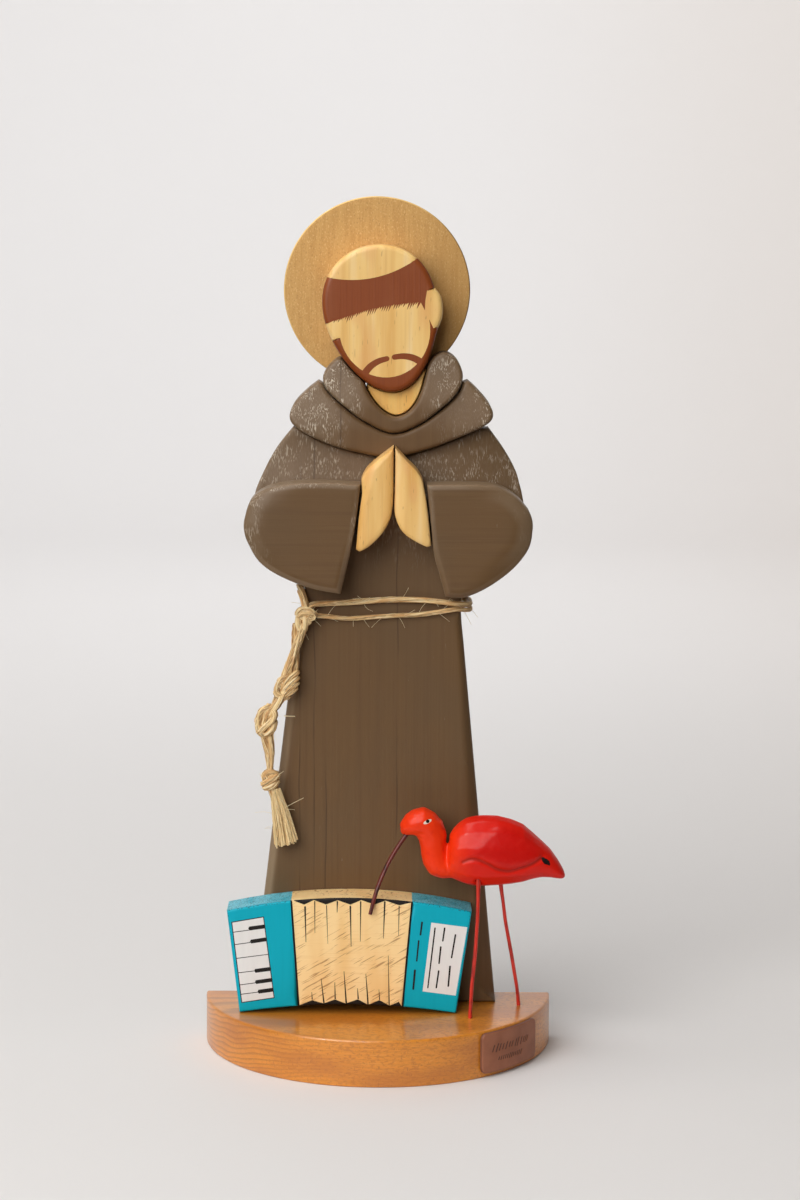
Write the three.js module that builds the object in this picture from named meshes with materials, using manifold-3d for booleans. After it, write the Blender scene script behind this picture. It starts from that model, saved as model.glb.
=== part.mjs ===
// A praying friar sawn from flat pine boards, with a squeezebox and a red ibis on a half-disc base.
// Millimetres, +Z up, the figure faces -Y. The origin is on the underside, in the middle of the base.
// Outlines are lists of [x, z] seen from the front, in order: up the right, over the top, down the left.
import * as THREE from 'three';
import { mergeVertices } from 'three/addons/utils/BufferGeometryUtils.js';
import Module from 'manifold-3d';

const wasm = await Module();
wasm.setup();

// Driving dimensions
const BASE_RADIUS = 75;
const BASE_HEIGHT = 20;
const BACK = BASE_RADIUS / 2; // Y of the plane that holds the back of every body board
const BOARD = 17.5; // thickness of the planed boards
const COWL_THICKNESS = 20.5;
const COLLAR_THICKNESS = 21.5;
const NECK_THICKNESS = 15;
const HEAD_THICKNESS = 20;
const GAP = 0.3; // room between pieces that touch
const KERF = 0.55; // saw cut between the pieces of the hood
const HALO_RADIUS = 39.5;
const HALO_THICKNESS = 4;
const HALO_CENTRE = [-1.9, 325.6];
const HEAD_HEIGHT = 62;
const HEAD_WIDTH = 47;
const HEAD_CENTRE = [0.6, 314.3];
const HEAD_TILT = THREE.MathUtils.degToRad(12); // crown to the left
const HEAD_TAPER = 0.2; // how much the chin is narrower than the skull
const TWINE = 2.5; // diameter of one strand
const TAIL = 6; // width of the doubled twine
const LEG_WIRE = 2;
const BEAK_WIRE = 1.6;
const HOLE_DEPTH = 5; // how far a wire goes into the wood

const FLOOR = BASE_HEIGHT + GAP; // underside of what stands on the base
const SLEEVE_BACK = BOARD + GAP; // depths count from the back plane towards the viewer
const SLEEVE_FRONT = SLEEVE_BACK + BOARD;
const HAND_FRONT = SLEEVE_FRONT + 1;

const group = new THREE.Group();

function finish(color, roughness) {
  return new THREE.MeshStandardMaterial({ color, roughness, metalness: 0 });
}

const robePaint = finish(0x6c5339, 0.55);
const barePine = finish(0xebbe7d, 0.5);
const sisal = finish(0xd7b478, 0.9);
const wirePaint = finish(0xbe2d1e, 0.4);

function add(name, geometry, material) {
  const mesh = new THREE.Mesh(geometry, material);
  mesh.name = name;
  group.add(mesh);
}

// Solids that are cut or joined

function solid(geometry) {
  const bare = geometry.clone();
  bare.deleteAttribute('normal');
  bare.deleteAttribute('uv');
  const merged = mergeVertices(bare, 1e-4);
  const vertProperties = new Float32Array(merged.attributes.position.array);
  const triVerts = new Uint32Array(merged.index.array);
  return new wasm.Manifold(new wasm.Mesh({ numProp: 3, vertProperties, triVerts }));
}

function geometryOf(manifold) {
  const mesh = manifold.getMesh();
  const geometry = new THREE.BufferGeometry();
  geometry.setAttribute('position', new THREE.BufferAttribute(mesh.vertProperties, 3));
  geometry.setIndex(new THREE.BufferAttribute(mesh.triVerts, 1));
  geometry.computeVertexNormals();
  return geometry;
}

function cut(geometry, ...tools) {
  return geometryOf(tools.reduce((body, tool) => body.subtract(solid(tool)), solid(geometry)));
}

function join(...geometries) {
  const [first, ...rest] = geometries.map(solid);
  return geometryOf(rest.reduce((body, other) => body.add(other), first));
}

// Lines and outlines

const at = ([x, z]) => new THREE.Vector2(x, z);

function smooth(points, steps = 3) {
  return new THREE.SplineCurve(points.map(at)).getPoints(steps * (points.length - 1));
}

// A line between two points that swells to one side, as a shallow arc does.
function bow(from, to, rise, steps = 8) {
  const middle = [(from[0] + to[0]) / 2, (from[1] + to[1]) / 2 + 2 * rise];
  return new THREE.QuadraticBezierCurve(at(from), at(middle), at(to)).getPoints(steps);
}

// The same line, moved to its right-hand side. On an outline that is outwards.
function shifted(line, distance, closed = false) {
  const count = line.length;
  return line.map((point, i) => {
    const before = closed ? line[(i + count - 1) % count] : line[Math.max(i - 1, 0)];
    const after = closed ? line[(i + 1) % count] : line[Math.min(i + 1, count - 1)];
    const along = after.clone().sub(before).normalize();
    return new THREE.Vector2(point.x + along.y * distance, point.y - along.x * distance);
  });
}

// Height at the place x of a line that runs from left to right.
function heightAt(line, x) {
  const next = Math.min(Math.max(line.findIndex((point) => point.x >= x), 1), line.length - 1);
  const [a, b] = [line[next - 1], line[next]];
  return THREE.MathUtils.lerp(a.y, b.y, (x - a.x) / (b.x - a.x));
}

function isInside(loop, point) {
  const crossings = loop.filter((a, i) => {
    const b = loop[(i + 1) % loop.length];
    if (a.y > point.y === b.y > point.y) return false;
    return point.x < a.x + ((b.x - a.x) * (point.y - a.y)) / (b.y - a.y);
  });
  return crossings.length % 2 === 1;
}

// A board sawn to an outline, between two depths, its edges taken off by `ease`.
function board(outline, front, { back = 0, ease = 1 } = {}) {
  const geometry = new THREE.ExtrudeGeometry(new THREE.Shape(outline), {
    depth: front - back - 2 * ease,
    bevelThickness: ease,
    bevelSize: ease,
    bevelOffset: -ease,
    bevelSegments: 1,
  });
  geometry.rotateX(Math.PI / 2);
  geometry.translate(0, BACK - back - ease, 0);
  return geometry;
}

// Base and the plate on its front

const BASE_STEPS = 44;
const BASE_EASE = 0.6;

function baseArc(radius, from, to, steps) {
  return Array.from({ length: steps + 1 }, (_, i) => {
    const angle = THREE.MathUtils.lerp(from, to, i / steps);
    return new THREE.Vector2(radius * Math.sin(angle), BACK - radius * Math.cos(angle));
  });
}

function makeBase() {
  const outline = baseArc(BASE_RADIUS, -Math.PI / 2, Math.PI / 2, BASE_STEPS);
  const geometry = new THREE.ExtrudeGeometry(new THREE.Shape(outline), {
    depth: BASE_HEIGHT - 2 * BASE_EASE,
    bevelThickness: BASE_EASE,
    bevelSize: BASE_EASE,
    bevelOffset: -BASE_EASE,
    bevelSegments: 1,
  });
  return geometry.translate(0, 0, BASE_EASE);
}

const TAG_THICKNESS = 1.6;
const TAG_FROM = THREE.MathUtils.degToRad(34.8); // angles from the middle of the front
const TAG_TO = THREE.MathUtils.degToRad(61.5);
const TAG_BOTTOM = 2;
const TAG_TOP = 19.2;
const TAG_CORNER = 2.6;

// A curved strip, trimmed by a plate with round corners that faces the strip's middle.
function makeTag() {
  const inner = BASE_RADIUS + GAP;
  const near = baseArc(inner, TAG_FROM, TAG_TO, 10);
  const far = baseArc(inner + TAG_THICKNESS, TAG_FROM, TAG_TO, 10);
  const strip = new THREE.ExtrudeGeometry(new THREE.Shape([...far, ...near.reverse()]), {
    depth: TAG_TOP - TAG_BOTTOM,
    bevelEnabled: false,
  });
  strip.translate(0, 0, TAG_BOTTOM);
  const half = inner * Math.sin((TAG_TO - TAG_FROM) / 2) + TAG_THICKNESS / 2;
  const tall = (TAG_TOP - TAG_BOTTOM) / 2;
  const corners = new THREE.Shape();
  corners.moveTo(-half + TAG_CORNER, -tall);
  corners.absarc(half - TAG_CORNER, TAG_CORNER - tall, TAG_CORNER, -Math.PI / 2, 0);
  corners.absarc(half - TAG_CORNER, tall - TAG_CORNER, TAG_CORNER, 0, Math.PI / 2);
  corners.absarc(TAG_CORNER - half, tall - TAG_CORNER, TAG_CORNER, Math.PI / 2, Math.PI);
  corners.absarc(TAG_CORNER - half, TAG_CORNER - tall, TAG_CORNER, Math.PI, 1.5 * Math.PI);
  const plate = new THREE.ExtrudeGeometry(corners, {
    depth: BASE_RADIUS,
    bevelEnabled: false,
    curveSegments: 3,
  });
  plate.rotateX(Math.PI / 2);
  plate.translate(0, -BASE_RADIUS / 2, (TAG_TOP + TAG_BOTTOM) / 2);
  plate.rotateZ((TAG_FROM + TAG_TO) / 2);
  plate.translate(0, BACK, 0);
  return geometryOf(solid(strip).intersect(solid(plate)));
}

// Head: an egg, narrower at the chin, leaning to the left, with one ear on the right

const HEAD_STEPS = 44;
const EAR_OUT = 2.2;
const EAR_MIDDLE = -0.02; // along the head, from -1 at the chin to 1 at the crown
const EAR_HALF = 0.27;

function headOutline(grow) {
  const loop = Array.from({ length: HEAD_STEPS }, (_, i) => {
    const angle = (2 * Math.PI * i) / HEAD_STEPS;
    const rise = Math.sin(angle);
    const ear = Math.sqrt(Math.max(0, 1 - ((rise - EAR_MIDDLE) / EAR_HALF) ** 2));
    const half = (HEAD_WIDTH / 2) * Math.cos(angle) * (1 + HEAD_TAPER * rise);
    const side = half + (Math.cos(angle) > 0 ? EAR_OUT * ear : 0);
    return new THREE.Vector2(side, (HEAD_HEIGHT / 2) * rise)
      .rotateAround(new THREE.Vector2(), HEAD_TILT)
      .add(at(HEAD_CENTRE));
  });
  return shifted(loop, grow, true);
}

// The lower half of the outline, from left to right.
function jawLine(grow) {
  const loop = headOutline(grow);
  return loop.slice(HEAD_STEPS / 2).sort((a, b) => a.x - b.x);
}

// Hood: neck, collar and cowl, sawn to fit round each other below the head

const neckLine = smooth([
  [-8.3, 291.8], [-5.9, 284.4], [-0.6, 277], [6, 273.4], [12, 275.8], [16.4, 282.5], [19, 291.6],
  [22.4, 303],
], 5);

const collarLine = smooth([
  [-9, 294], [-14.6, 299], [-18.2, 297.6], [-22, 294.4], [-24.3, 290], [-22.9, 285], [-16.7, 279],
  [-7, 271.7], [5, 266.7], [15.7, 270.1], [24.8, 276.7], [31.7, 283.3], [34.4, 290], [32.7, 296],
  [29, 299.7], [24.4, 299.8], [17, 294],
], 3);

const cowlLine = smooth([
  [-26.4, 287.9], [-31, 284.4], [-36.6, 278.4], [-38.2, 272.6], [-34.6, 268.1], [-24, 262.6], [-12, 258.9],
  [4, 256.4], [19.1, 259.6], [33, 264.9], [44, 270], [47.2, 274], [45.4, 279.2], [40, 285.4], [36.6, 288.4],
], 3);

// Where the collar or the neck meets what is inside it: the jaw, or the neckline below it.
function throat(from, to, steps) {
  const jaw = jawLine(KERF);
  return Array.from({ length: steps + 1 }, (_, i) => {
    const x = THREE.MathUtils.lerp(from, to, i / steps);
    return new THREE.Vector2(x, Math.min(heightAt(jaw, x), heightAt(neckLine, x)));
  });
}

function makeCollar() {
  const head = headOutline(KERF);
  const outside = collarLine.filter((point) => !isInside(head, point));
  const inner = throat(outside.at(-1).x, outside[0].x, 26).slice(1, -1);
  return board([...outside, ...inner], COLLAR_THICKNESS, { ease: 1.2 });
}

const NECK_TIP = 1.3; // height at which the neck's thin ends stop

function makeNeck() {
  const jaw = jawLine(KERF);
  const below = (point) => point.y < heightAt(jaw, point.x) - NECK_TIP;
  const low = shifted(neckLine, -KERF).filter(below);
  const high = low.map((point) => new THREE.Vector2(point.x, heightAt(jaw, point.x)));
  return board([...low, ...high.reverse()], NECK_THICKNESS, { ease: 0.3 });
}

function makeCowl() {
  const seam = shifted(collarLine, KERF).filter((point) => point.y < 288);
  return board([...cowlLine, ...seam.reverse()], COWL_THICKNESS);
}

// Robe, from the hem to the seam under the cowl

const robeRight = [
  ...bow([50.8, FLOOR], [34.6, 189], 1, 6),
  ...smooth([[34.5, 194], [35.3, 200], [40, 205], [50, 212], [58.4, 222], [60.8, 235], [57.8, 248.8]]),
  ...smooth([[55.2, 254.3], [51.7, 260], [45.6, 268.3]], 2),
];
const robeLeft = [
  ...smooth([[-37, 268.2], [-44.2, 259], [-50.1, 248], [-53.4, 238], [-52.4, 223], [-45, 212.5]]),
  ...smooth([[-39.5, 209], [-34, 205.5], [-31.8, 201], [-31.8, 195]], 2),
  ...bow([-34.9, 188.5], [-54.8, FLOOR], 0, 4),
];

function makeRobe() {
  const below = (point) => point.y < 268.4 && point.x > -35 && point.x < 44.5;
  const seam = shifted(cowlLine, KERF).filter(below);
  return board([...robeRight, ...seam.reverse(), ...robeLeft], BOARD, { ease: 2 });
}

// Sleeves and hands, glued on the robe's front

const leftSleeve = [
  ...smooth([[-8.3, 246.2], [-23, 247], [-37, 246.4], [-48, 243.9], [-54.2, 238.9], [-56.8, 230.5]]),
  ...smooth([[-55.7, 222.5], [-50.5, 213.6], [-41, 207.2], [-28, 202.3], [-16.4, 200.2]]),
  ...smooth([[-15, 206], [-12.1, 219.3], [-9.5, 235]]),
];
const rightSleeve = [
  ...smooth([[27.4, 199.3], [34.7, 198.9], [44, 202.6], [55, 210.4], [62.2, 219.8], [63.8, 229]]),
  ...smooth([[62, 235.4], [56.8, 241.2], [48, 245.7], [33, 246.5], [19.4, 246.2]]),
  ...smooth([[21, 232], [22.6, 217]], 4),
];
const leftHand = [
  ...smooth([[5.5, 261.8], [-0.6, 257.2], [-5.6, 252.5], [-7.9, 248.4]], 2),
  ...smooth([[-7.6, 242], [-8.8, 233], [-10, 219.2]], 2),
  ...smooth([[-8.6, 218.3], [-4.3, 220.7], [1.3, 226.6], [4.6, 233.5], [5.4, 242]]),
];
const rightHand = [
  ...smooth([[6, 242], [6.1, 234], [9, 227.2], [14.5, 222.9], [19.6, 220.4]]),
  ...smooth([[21.3, 221], [20.3, 231.3], [19, 241], [17.6, 248]], 2),
  ...smooth([[16, 251], [11.8, 255.6], [6.2, 261.6]], 2),
];

const TIP_NOTCH = 255.6; // above this height a hand lies over the cowl's edge

// A hand lies on the robe, and its back is cut away where its tip reaches over the cowl.
function makeHand(outline) {
  const notch = new THREE.BoxGeometry(60, COWL_THICKNESS + GAP, 30);
  notch.translate(0, BACK - (COWL_THICKNESS + GAP) / 2, TIP_NOTCH + 15);
  return cut(board(outline, HAND_FRONT, { back: SLEEVE_BACK, ease: 1.3 }), notch);
}

// Accordion: a shallow arch that stands on its two ends

const ACCORDION_OUTLINE = [
  ...bow([-58.9, FLOOR], [33.4, FLOOR], 3.6, 10),
  ...bow([39.7, 64.6], [-64.2, 64.6], 5.8, 16),
];

// Wires and twine: a round section drawn along a line of [x, y, z]

const at3 = ([x, y, z]) => new THREE.Vector3(x, y, z);

function tube(points, diameter, { sides = 8, steps = 24, closed = false } = {}) {
  const section = Array.from({ length: sides }, (_, i) => {
    const angle = (2 * Math.PI * i) / sides;
    return new THREE.Vector2(Math.cos(angle), Math.sin(angle)).multiplyScalar(diameter / 2);
  });
  return new THREE.ExtrudeGeometry(new THREE.Shape(section), {
    extrudePath: new THREE.CatmullRomCurve3(points.map(at3), closed),
    steps,
    bevelEnabled: false,
  });
}

// Twine belt: two strands across the front that go round the right edge, along the back,
// and come over the left edge above the knot

const STRAND_FRONT = BACK - BOARD - GAP - TWINE / 2;
const STRAND_BACK = BACK + GAP + TWINE / 2;
const KNOT_CENTRE = [-31, 15.6, 190.2];

const upperStrand = [
  [-25.6, STRAND_FRONT, 193.8], [-12, STRAND_FRONT, 195.1], [7, STRAND_FRONT, 196.2],
  [24, STRAND_FRONT, 195.3], [33, STRAND_FRONT, 194.4], [37.6, 22, 193.9], [38.2, 29, 193.9],
  [37, STRAND_BACK - 2, 194], [32, STRAND_BACK, 194.3], [10, STRAND_BACK, 196], [-14, STRAND_BACK, 198],
  [-29, STRAND_BACK, 199], [-33.8, STRAND_BACK - 1.2, 199.6], [-33.9, 29, 200], [-33.2, 20.4, 199],
  [-31.8, 17.6, 195.8],
];
const lowerStrand = [
  [-25.8, STRAND_FRONT, 189.3], [-12, STRAND_FRONT, 188.3], [5, STRAND_FRONT, 189.2],
  [22, STRAND_FRONT, 190.6], [33, STRAND_FRONT, 191.9], [37.8, 22, 191.4], [38.4, 29, 191.3],
  [37.2, STRAND_BACK - 2, 191.3], [32, STRAND_BACK, 191.5], [10, STRAND_BACK, 192.8], [-14, STRAND_BACK, 194.8],
  [-29, STRAND_BACK, 196.4], [-33.8, STRAND_BACK - 1.2, 197.2], [-33.9, 29, 197.4], [-33.5, 20.4, 197],
  [-32.4, 17.6, 195.2],
];

function ball(centre, radii, detail = 10) {
  const geometry = new THREE.SphereGeometry(1, detail, detail - 2);
  geometry.scale(...radii);
  geometry.translate(...centre);
  return geometry;
}

// The free end hangs beside the robe's edge. Its knots and its frayed end are the same twine.
const tailLine = [
  [-33.6, 15.6, 185.8], [-34.6, 15.4, 181.6], [-35.9, 15.2, 176], [-37.5, 15, 167.5], [-40, 14.8, 159.5],
  [-43.6, 14.9, 151.6], [-48, 15.2, 144], [-47.6, 15.4, 137], [-46.8, 15.5, 130], [-46.6, 15.4, 118.6],
  [-44.7, 15.3, 112], [-42, 15.2, 102], [-39.7, 15.2, 92],
];
const tailKnots = [
  { place: tailLine[4], radii: [4.7, 4.5, 5.8] },
  { place: tailLine[6], radii: [4.7, 4.6, 7.2] },
  { place: tailLine[9], radii: [4.3, 4.3, 5.4] },
];

function makeTail() {
  const knots = tailKnots.map(({ place, radii }) => ball(place, radii));
  const frayed = new THREE.CylinderGeometry(2.8, 5, 22, 10);
  frayed.rotateX(Math.PI / 2);
  frayed.scale(1, 0.8, 1);
  frayed.rotateY(-0.2);
  frayed.translate(-42, 15.3, 100.5);
  return join(tube(tailLine, TAIL, { steps: 30 }), ...knots, frayed);
}

// Ibis: stations along a line, each with the half sizes of its oval section

// Carves a sphere so that its poles lie on the first and last station.
// A station is [x, z, half size across the line, half size in depth], at the depth `y`.
// Its section is square to the line, or upright all along.
function carved(stations, y, { around = 14, along = 16, upright = false } = {}) {
  const spine = new THREE.SplineCurve(stations.map(at));
  const sizes = new THREE.SplineCurve(stations.map((station) => at(station.slice(2))));
  const geometry = new THREE.SphereGeometry(1, around, along);
  const place = geometry.attributes.position;
  for (let i = 0; i < place.count; i += 1) {
    const share = Math.acos(THREE.MathUtils.clamp(place.getY(i), -1, 1)) / Math.PI;
    const angle = Math.atan2(place.getX(i), place.getZ(i));
    const middle = spine.getPoint(share);
    const ahead = upright ? new THREE.Vector2(1, 0) : spine.getTangent(share);
    const size = sizes.getPoint(share).clampScalar(0, 100);
    const across = Math.sin(angle) * size.x;
    const out = Math.cos(angle) * size.y;
    place.setXYZ(i, middle.x - ahead.y * across, y - out, middle.y + ahead.x * across);
  }
  return geometry;
}

const IBIS_DEPTH = 6; // Y of the bird's middle

const ibisTorso = [
  [29.2, 85.7, 0, 0], [29.6, 86.3, 5.7, 4.8], [30.6, 88.3, 9.8, 6.8], [32.2, 89.4, 11.3, 8.2],
  [35.5, 90.2, 13.8, 9.4], [39.4, 90.4, 15, 10], [44.3, 90.5, 15.5, 10.2], [50.3, 90.6, 15.2, 10.2],
  [57, 90.1, 14, 9.6], [62.5, 89.3, 12.1, 8.7], [67.3, 87.7, 8.9, 7.4], [71.6, 86.1, 7, 6],
  [75.3, 83.4, 4.8, 4.4], [78.1, 81, 2.7, 2.6], [79.8, 79.4, 0, 0],
];
const ibisNeck = [
  [34, 82.5, 0, 0], [32.2, 82.3, 3.1, 3.6], [28.9, 82.7, 4.5, 5.4], [25.4, 84.1, 5.4, 5.8],
  [23.8, 87.2, 5.5, 5.6], [23.3, 90.9, 5.5, 5.4], [23, 94.2, 5.7, 5.4], [22, 97.9, 5.9, 5.8],
  [19.3, 102.5, 6.4, 6.3], [16.4, 102.1, 6.4, 6.3], [13.4, 100.7, 5.2, 5.4], [11.7, 98.4, 3.1, 3.4],
  [11.2, 96, 0, 0],
];

const nearLeg = [
  [42.2, 1.6, 82], [42.2, 0.6, 76], [41.9, -0.5, 61.5], [41.2, -1.5, 47.4], [39.8, -2.6, 33.3], [39.2, -3.6, 20],
  [39.2, -3.8, BASE_HEIGHT - HOLE_DEPTH],
];
const farLeg = [
  [51.7, 9.6, 82], [52.2, 10.2, 75], [54.5, 12.2, 58.3], [57.3, 14, 43.3], [59.8, 15.8, 28.2], [60.7, 16.8, 20],
  [60.9, 17, BASE_HEIGHT - HOLE_DEPTH],
];
const beakLine = [
  [15.4, 6.1, 101.2], [11.6, 5.4, 97], [7.6, 4.4, 91.2], [3.4, 3, 83.8], [-0.5, 1.2, 74.3], [-3.4, -0.2, 64],
];

// The hole that a wire goes into: a little wider, and a little deeper at both ends.
function holeFor(line, diameter) {
  const points = line.map(at3);
  const first = points[0].clone().add(points[0].clone().sub(points[1]).setLength(GAP));
  const last = points.at(-1).clone().add(points.at(-1).clone().sub(points.at(-2)).setLength(GAP));
  return tube([first.toArray(), ...line.slice(1, -1), last.toArray()], diameter + 2 * GAP);
}

const legHoles = [holeFor(nearLeg, LEG_WIRE), holeFor(farLeg, LEG_WIRE)];

add('base', cut(makeBase(), ...legHoles), finish(0xc88c46, 0.35));
add('leather_tag', makeTag(), finish(0x7d503c, 0.6));
add('robe', makeRobe(), robePaint);
add('cowl', makeCowl(), robePaint);
add('collar', makeCollar(), robePaint);
add('neck', makeNeck(), barePine);
add('head', board(headOutline(0), HEAD_THICKNESS, { ease: 1.2 }), barePine);

const disc = new THREE.Shape().absarc(...HALO_CENTRE, HALO_RADIUS, 0, 2 * Math.PI).getPoints(15);
const haloBoard = board(disc, -GAP, { back: -GAP - HALO_THICKNESS, ease: 0.5 });
add('halo', haloBoard, finish(0xcd9e5f, 0.45));

const sleeveBoard = { back: SLEEVE_BACK, ease: 1.6 };
add('sleeve_left', board(leftSleeve, SLEEVE_FRONT, sleeveBoard), robePaint);
add('sleeve_right', board(rightSleeve, SLEEVE_FRONT, sleeveBoard), robePaint);
add('hand_left', makeHand(leftHand), barePine);
add('hand_right', makeHand(rightHand), barePine);

const strands = [upperStrand, lowerStrand].map((line) => tube(line, TWINE, { sides: 6, steps: 46 }));
add('belt_rope', join(...strands), sisal);
add('belt_knot', ball(KNOT_CENTRE, [4.6, 3.4, 4.4]), sisal);
add('rope_tail', makeTail(), sisal);

const accordionBoard = board(ACCORDION_OUTLINE, SLEEVE_FRONT, { back: SLEEVE_BACK, ease: 0.8 });
add('accordion', accordionBoard, finish(0x00a0b4, 0.4));

const ibisWood = join(carved(ibisTorso, IBIS_DEPTH, { upright: true }), carved(ibisNeck, IBIS_DEPTH));
add('ibis_body', cut(ibisWood, ...legHoles, holeFor(beakLine, BEAK_WIRE)), finish(0xe12d1e, 0.3));
add('ibis_beak', tube(beakLine, BEAK_WIRE, { steps: 14 }), finish(0x5a1914, 0.4));
add('ibis_leg_near', tube(nearLeg, LEG_WIRE, { steps: 18 }), wirePaint);
add('ibis_leg_far', tube(farLeg, LEG_WIRE, { steps: 18 }), wirePaint);

export default group;
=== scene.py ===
import math
import random

import bmesh
import bpy
import numpy as np
from mathutils import Matrix, Vector
from mathutils.geometry import delaunay_2d_cdt


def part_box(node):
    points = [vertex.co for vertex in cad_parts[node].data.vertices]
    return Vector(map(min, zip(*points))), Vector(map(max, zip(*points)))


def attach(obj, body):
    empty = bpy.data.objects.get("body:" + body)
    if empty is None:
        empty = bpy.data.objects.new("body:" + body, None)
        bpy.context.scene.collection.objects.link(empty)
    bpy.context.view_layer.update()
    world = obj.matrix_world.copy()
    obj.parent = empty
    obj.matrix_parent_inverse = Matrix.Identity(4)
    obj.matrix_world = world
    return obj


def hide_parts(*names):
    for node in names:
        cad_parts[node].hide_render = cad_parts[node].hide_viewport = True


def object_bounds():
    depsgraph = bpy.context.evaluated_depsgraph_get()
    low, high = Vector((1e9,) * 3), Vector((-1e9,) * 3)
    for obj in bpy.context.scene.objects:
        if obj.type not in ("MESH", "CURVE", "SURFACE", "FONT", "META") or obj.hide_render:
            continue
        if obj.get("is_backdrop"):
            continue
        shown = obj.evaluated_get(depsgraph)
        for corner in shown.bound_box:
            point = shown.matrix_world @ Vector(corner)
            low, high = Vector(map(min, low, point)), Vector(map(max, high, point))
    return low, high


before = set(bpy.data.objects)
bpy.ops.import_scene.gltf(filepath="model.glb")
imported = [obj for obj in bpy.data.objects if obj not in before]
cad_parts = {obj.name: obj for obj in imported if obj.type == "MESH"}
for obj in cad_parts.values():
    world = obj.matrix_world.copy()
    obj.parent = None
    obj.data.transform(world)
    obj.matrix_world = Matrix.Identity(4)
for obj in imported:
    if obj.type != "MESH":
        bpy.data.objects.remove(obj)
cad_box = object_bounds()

# The photographer's camera: a short telephoto lens on a tripod a little over a metre in front
# of the statue, level with its halo and looking down at it by eight degrees.
CAMERA_PLACE = (0.00397, -1.16926, 0.36318)
AIM_RIGHT, AIM_DOWN, LEAN = 0.003851, 0.139953, -0.005963
LENS_MM, FILM_MM, FARTHEST = 85, 36, 20
ahead = Vector((
    math.sin(AIM_RIGHT) * math.cos(AIM_DOWN),
    math.cos(AIM_RIGHT) * math.cos(AIM_DOWN),
    -math.sin(AIM_DOWN),
))
level = Vector((math.cos(AIM_RIGHT), -math.sin(AIM_RIGHT), 0))
below = ahead.cross(level)
camera_right = level * math.cos(LEAN) + below * math.sin(LEAN)
camera_down = below * math.cos(LEAN) - level * math.sin(LEAN)
camera = bpy.data.objects.new("camera", bpy.data.cameras.new("camera"))
bpy.context.scene.collection.objects.link(camera)
camera.matrix_world = Matrix((
    (camera_right.x, -camera_down.x, -ahead.x, CAMERA_PLACE[0]),
    (camera_right.y, -camera_down.y, -ahead.y, CAMERA_PLACE[1]),
    (camera_right.z, -camera_down.z, -ahead.z, CAMERA_PLACE[2]),
    (0, 0, 0, 1),
))
camera.data.lens, camera.data.sensor_width, camera.data.clip_end = LENS_MM, FILM_MM, FARTHEST
bpy.context.scene.camera = camera
bpy.context.scene.view_settings.view_transform = "Standard"

# The studio light: one large softbox high on the left, with a small lamp beside it that only
# sparkles in the glossy paint, a weak warm one on the right, one over the statue and four that
# light the paper round it. The pale room fills the shadows a little.
def softbox(name, place, aim, size, power, colour):
    light = bpy.data.lights.new(name, "AREA")
    light.shape, light.size, light.energy, light.color = "SQUARE", size, power, colour
    lamp = bpy.data.objects.new(name, light)
    bpy.context.scene.collection.objects.link(lamp)
    lamp.location = place
    lamp.rotation_euler = (Vector(aim) - Vector(place)).to_track_quat("-Z", "Y").to_euler()
    lamp.visible_camera = False
    return lamp


softbox("key_light", (-0.85, -1.6, 1.1), (0, 0, 0.2), 1.7, 38.5, (1, 0.99, 0.97))
spark = softbox("spark_light", (-0.8, -0.95, 1.2), (0, 0, 0.2), 0.14, 6, (1, 0.99, 0.97))
spark.visible_diffuse = False
softbox("fill_light", (1.6, -1.0, 0.8), (0, 0, 0.2), 1.2, 0.5, (1, 0.93, 0.86))
softbox("top_light", (-0.4, -0.1, 1.7), (0, 0.1, 0.2), 0.9, 12, (1, 0.99, 0.98))
LAMP_REACH, LAMP_HEIGHT, WALL_REACH = 1.2, 1.6, 2.7
for side, x, y, aim_height, power in (
    ("back", 0, 1, 0.55, 18), ("left", -1, 0, 0.9, 15),
    ("right", 1, 0, 0.9, 15), ("front", 0, -1, 1.1, 9),
):
    lamp_place = (x * LAMP_REACH, y * LAMP_REACH, LAMP_HEIGHT)
    lamp_aim = (x * WALL_REACH, y * WALL_REACH, aim_height)
    softbox(f"paper_light_{side}", lamp_place, lamp_aim, 1.2, power, (0.97, 0.98, 1))
room = bpy.data.worlds.new("room")
room.use_nodes = True
background = room.node_tree.nodes["Background"]
background.inputs["Color"].default_value = (1, 0.96, 0.91, 1)
background.inputs["Strength"].default_value = 0.1
bpy.context.scene.world = room


# The base is a half-disc of pine, sawn from a thick board with its grain running across,
# rounded a little at its edges and varnished to a warm honey colour with a soft shine.
BASE_ROUND = 1.0
RING_SPACING = 2.1
VARNISH_LIGHT, VARNISH_DARK = (216, 136, 40), (132, 73, 32)


def tone(red, green, blue):
    """A colour as it looks on a screen, from 0 to 255, in the numbers that a shader takes."""
    def linear(value):
        value /= 255
        return value / 12.92 if value <= 0.04045 else ((value + 0.055) / 1.055) ** 2.4
    return (linear(red), linear(green), linear(blue), 1.0)


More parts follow.
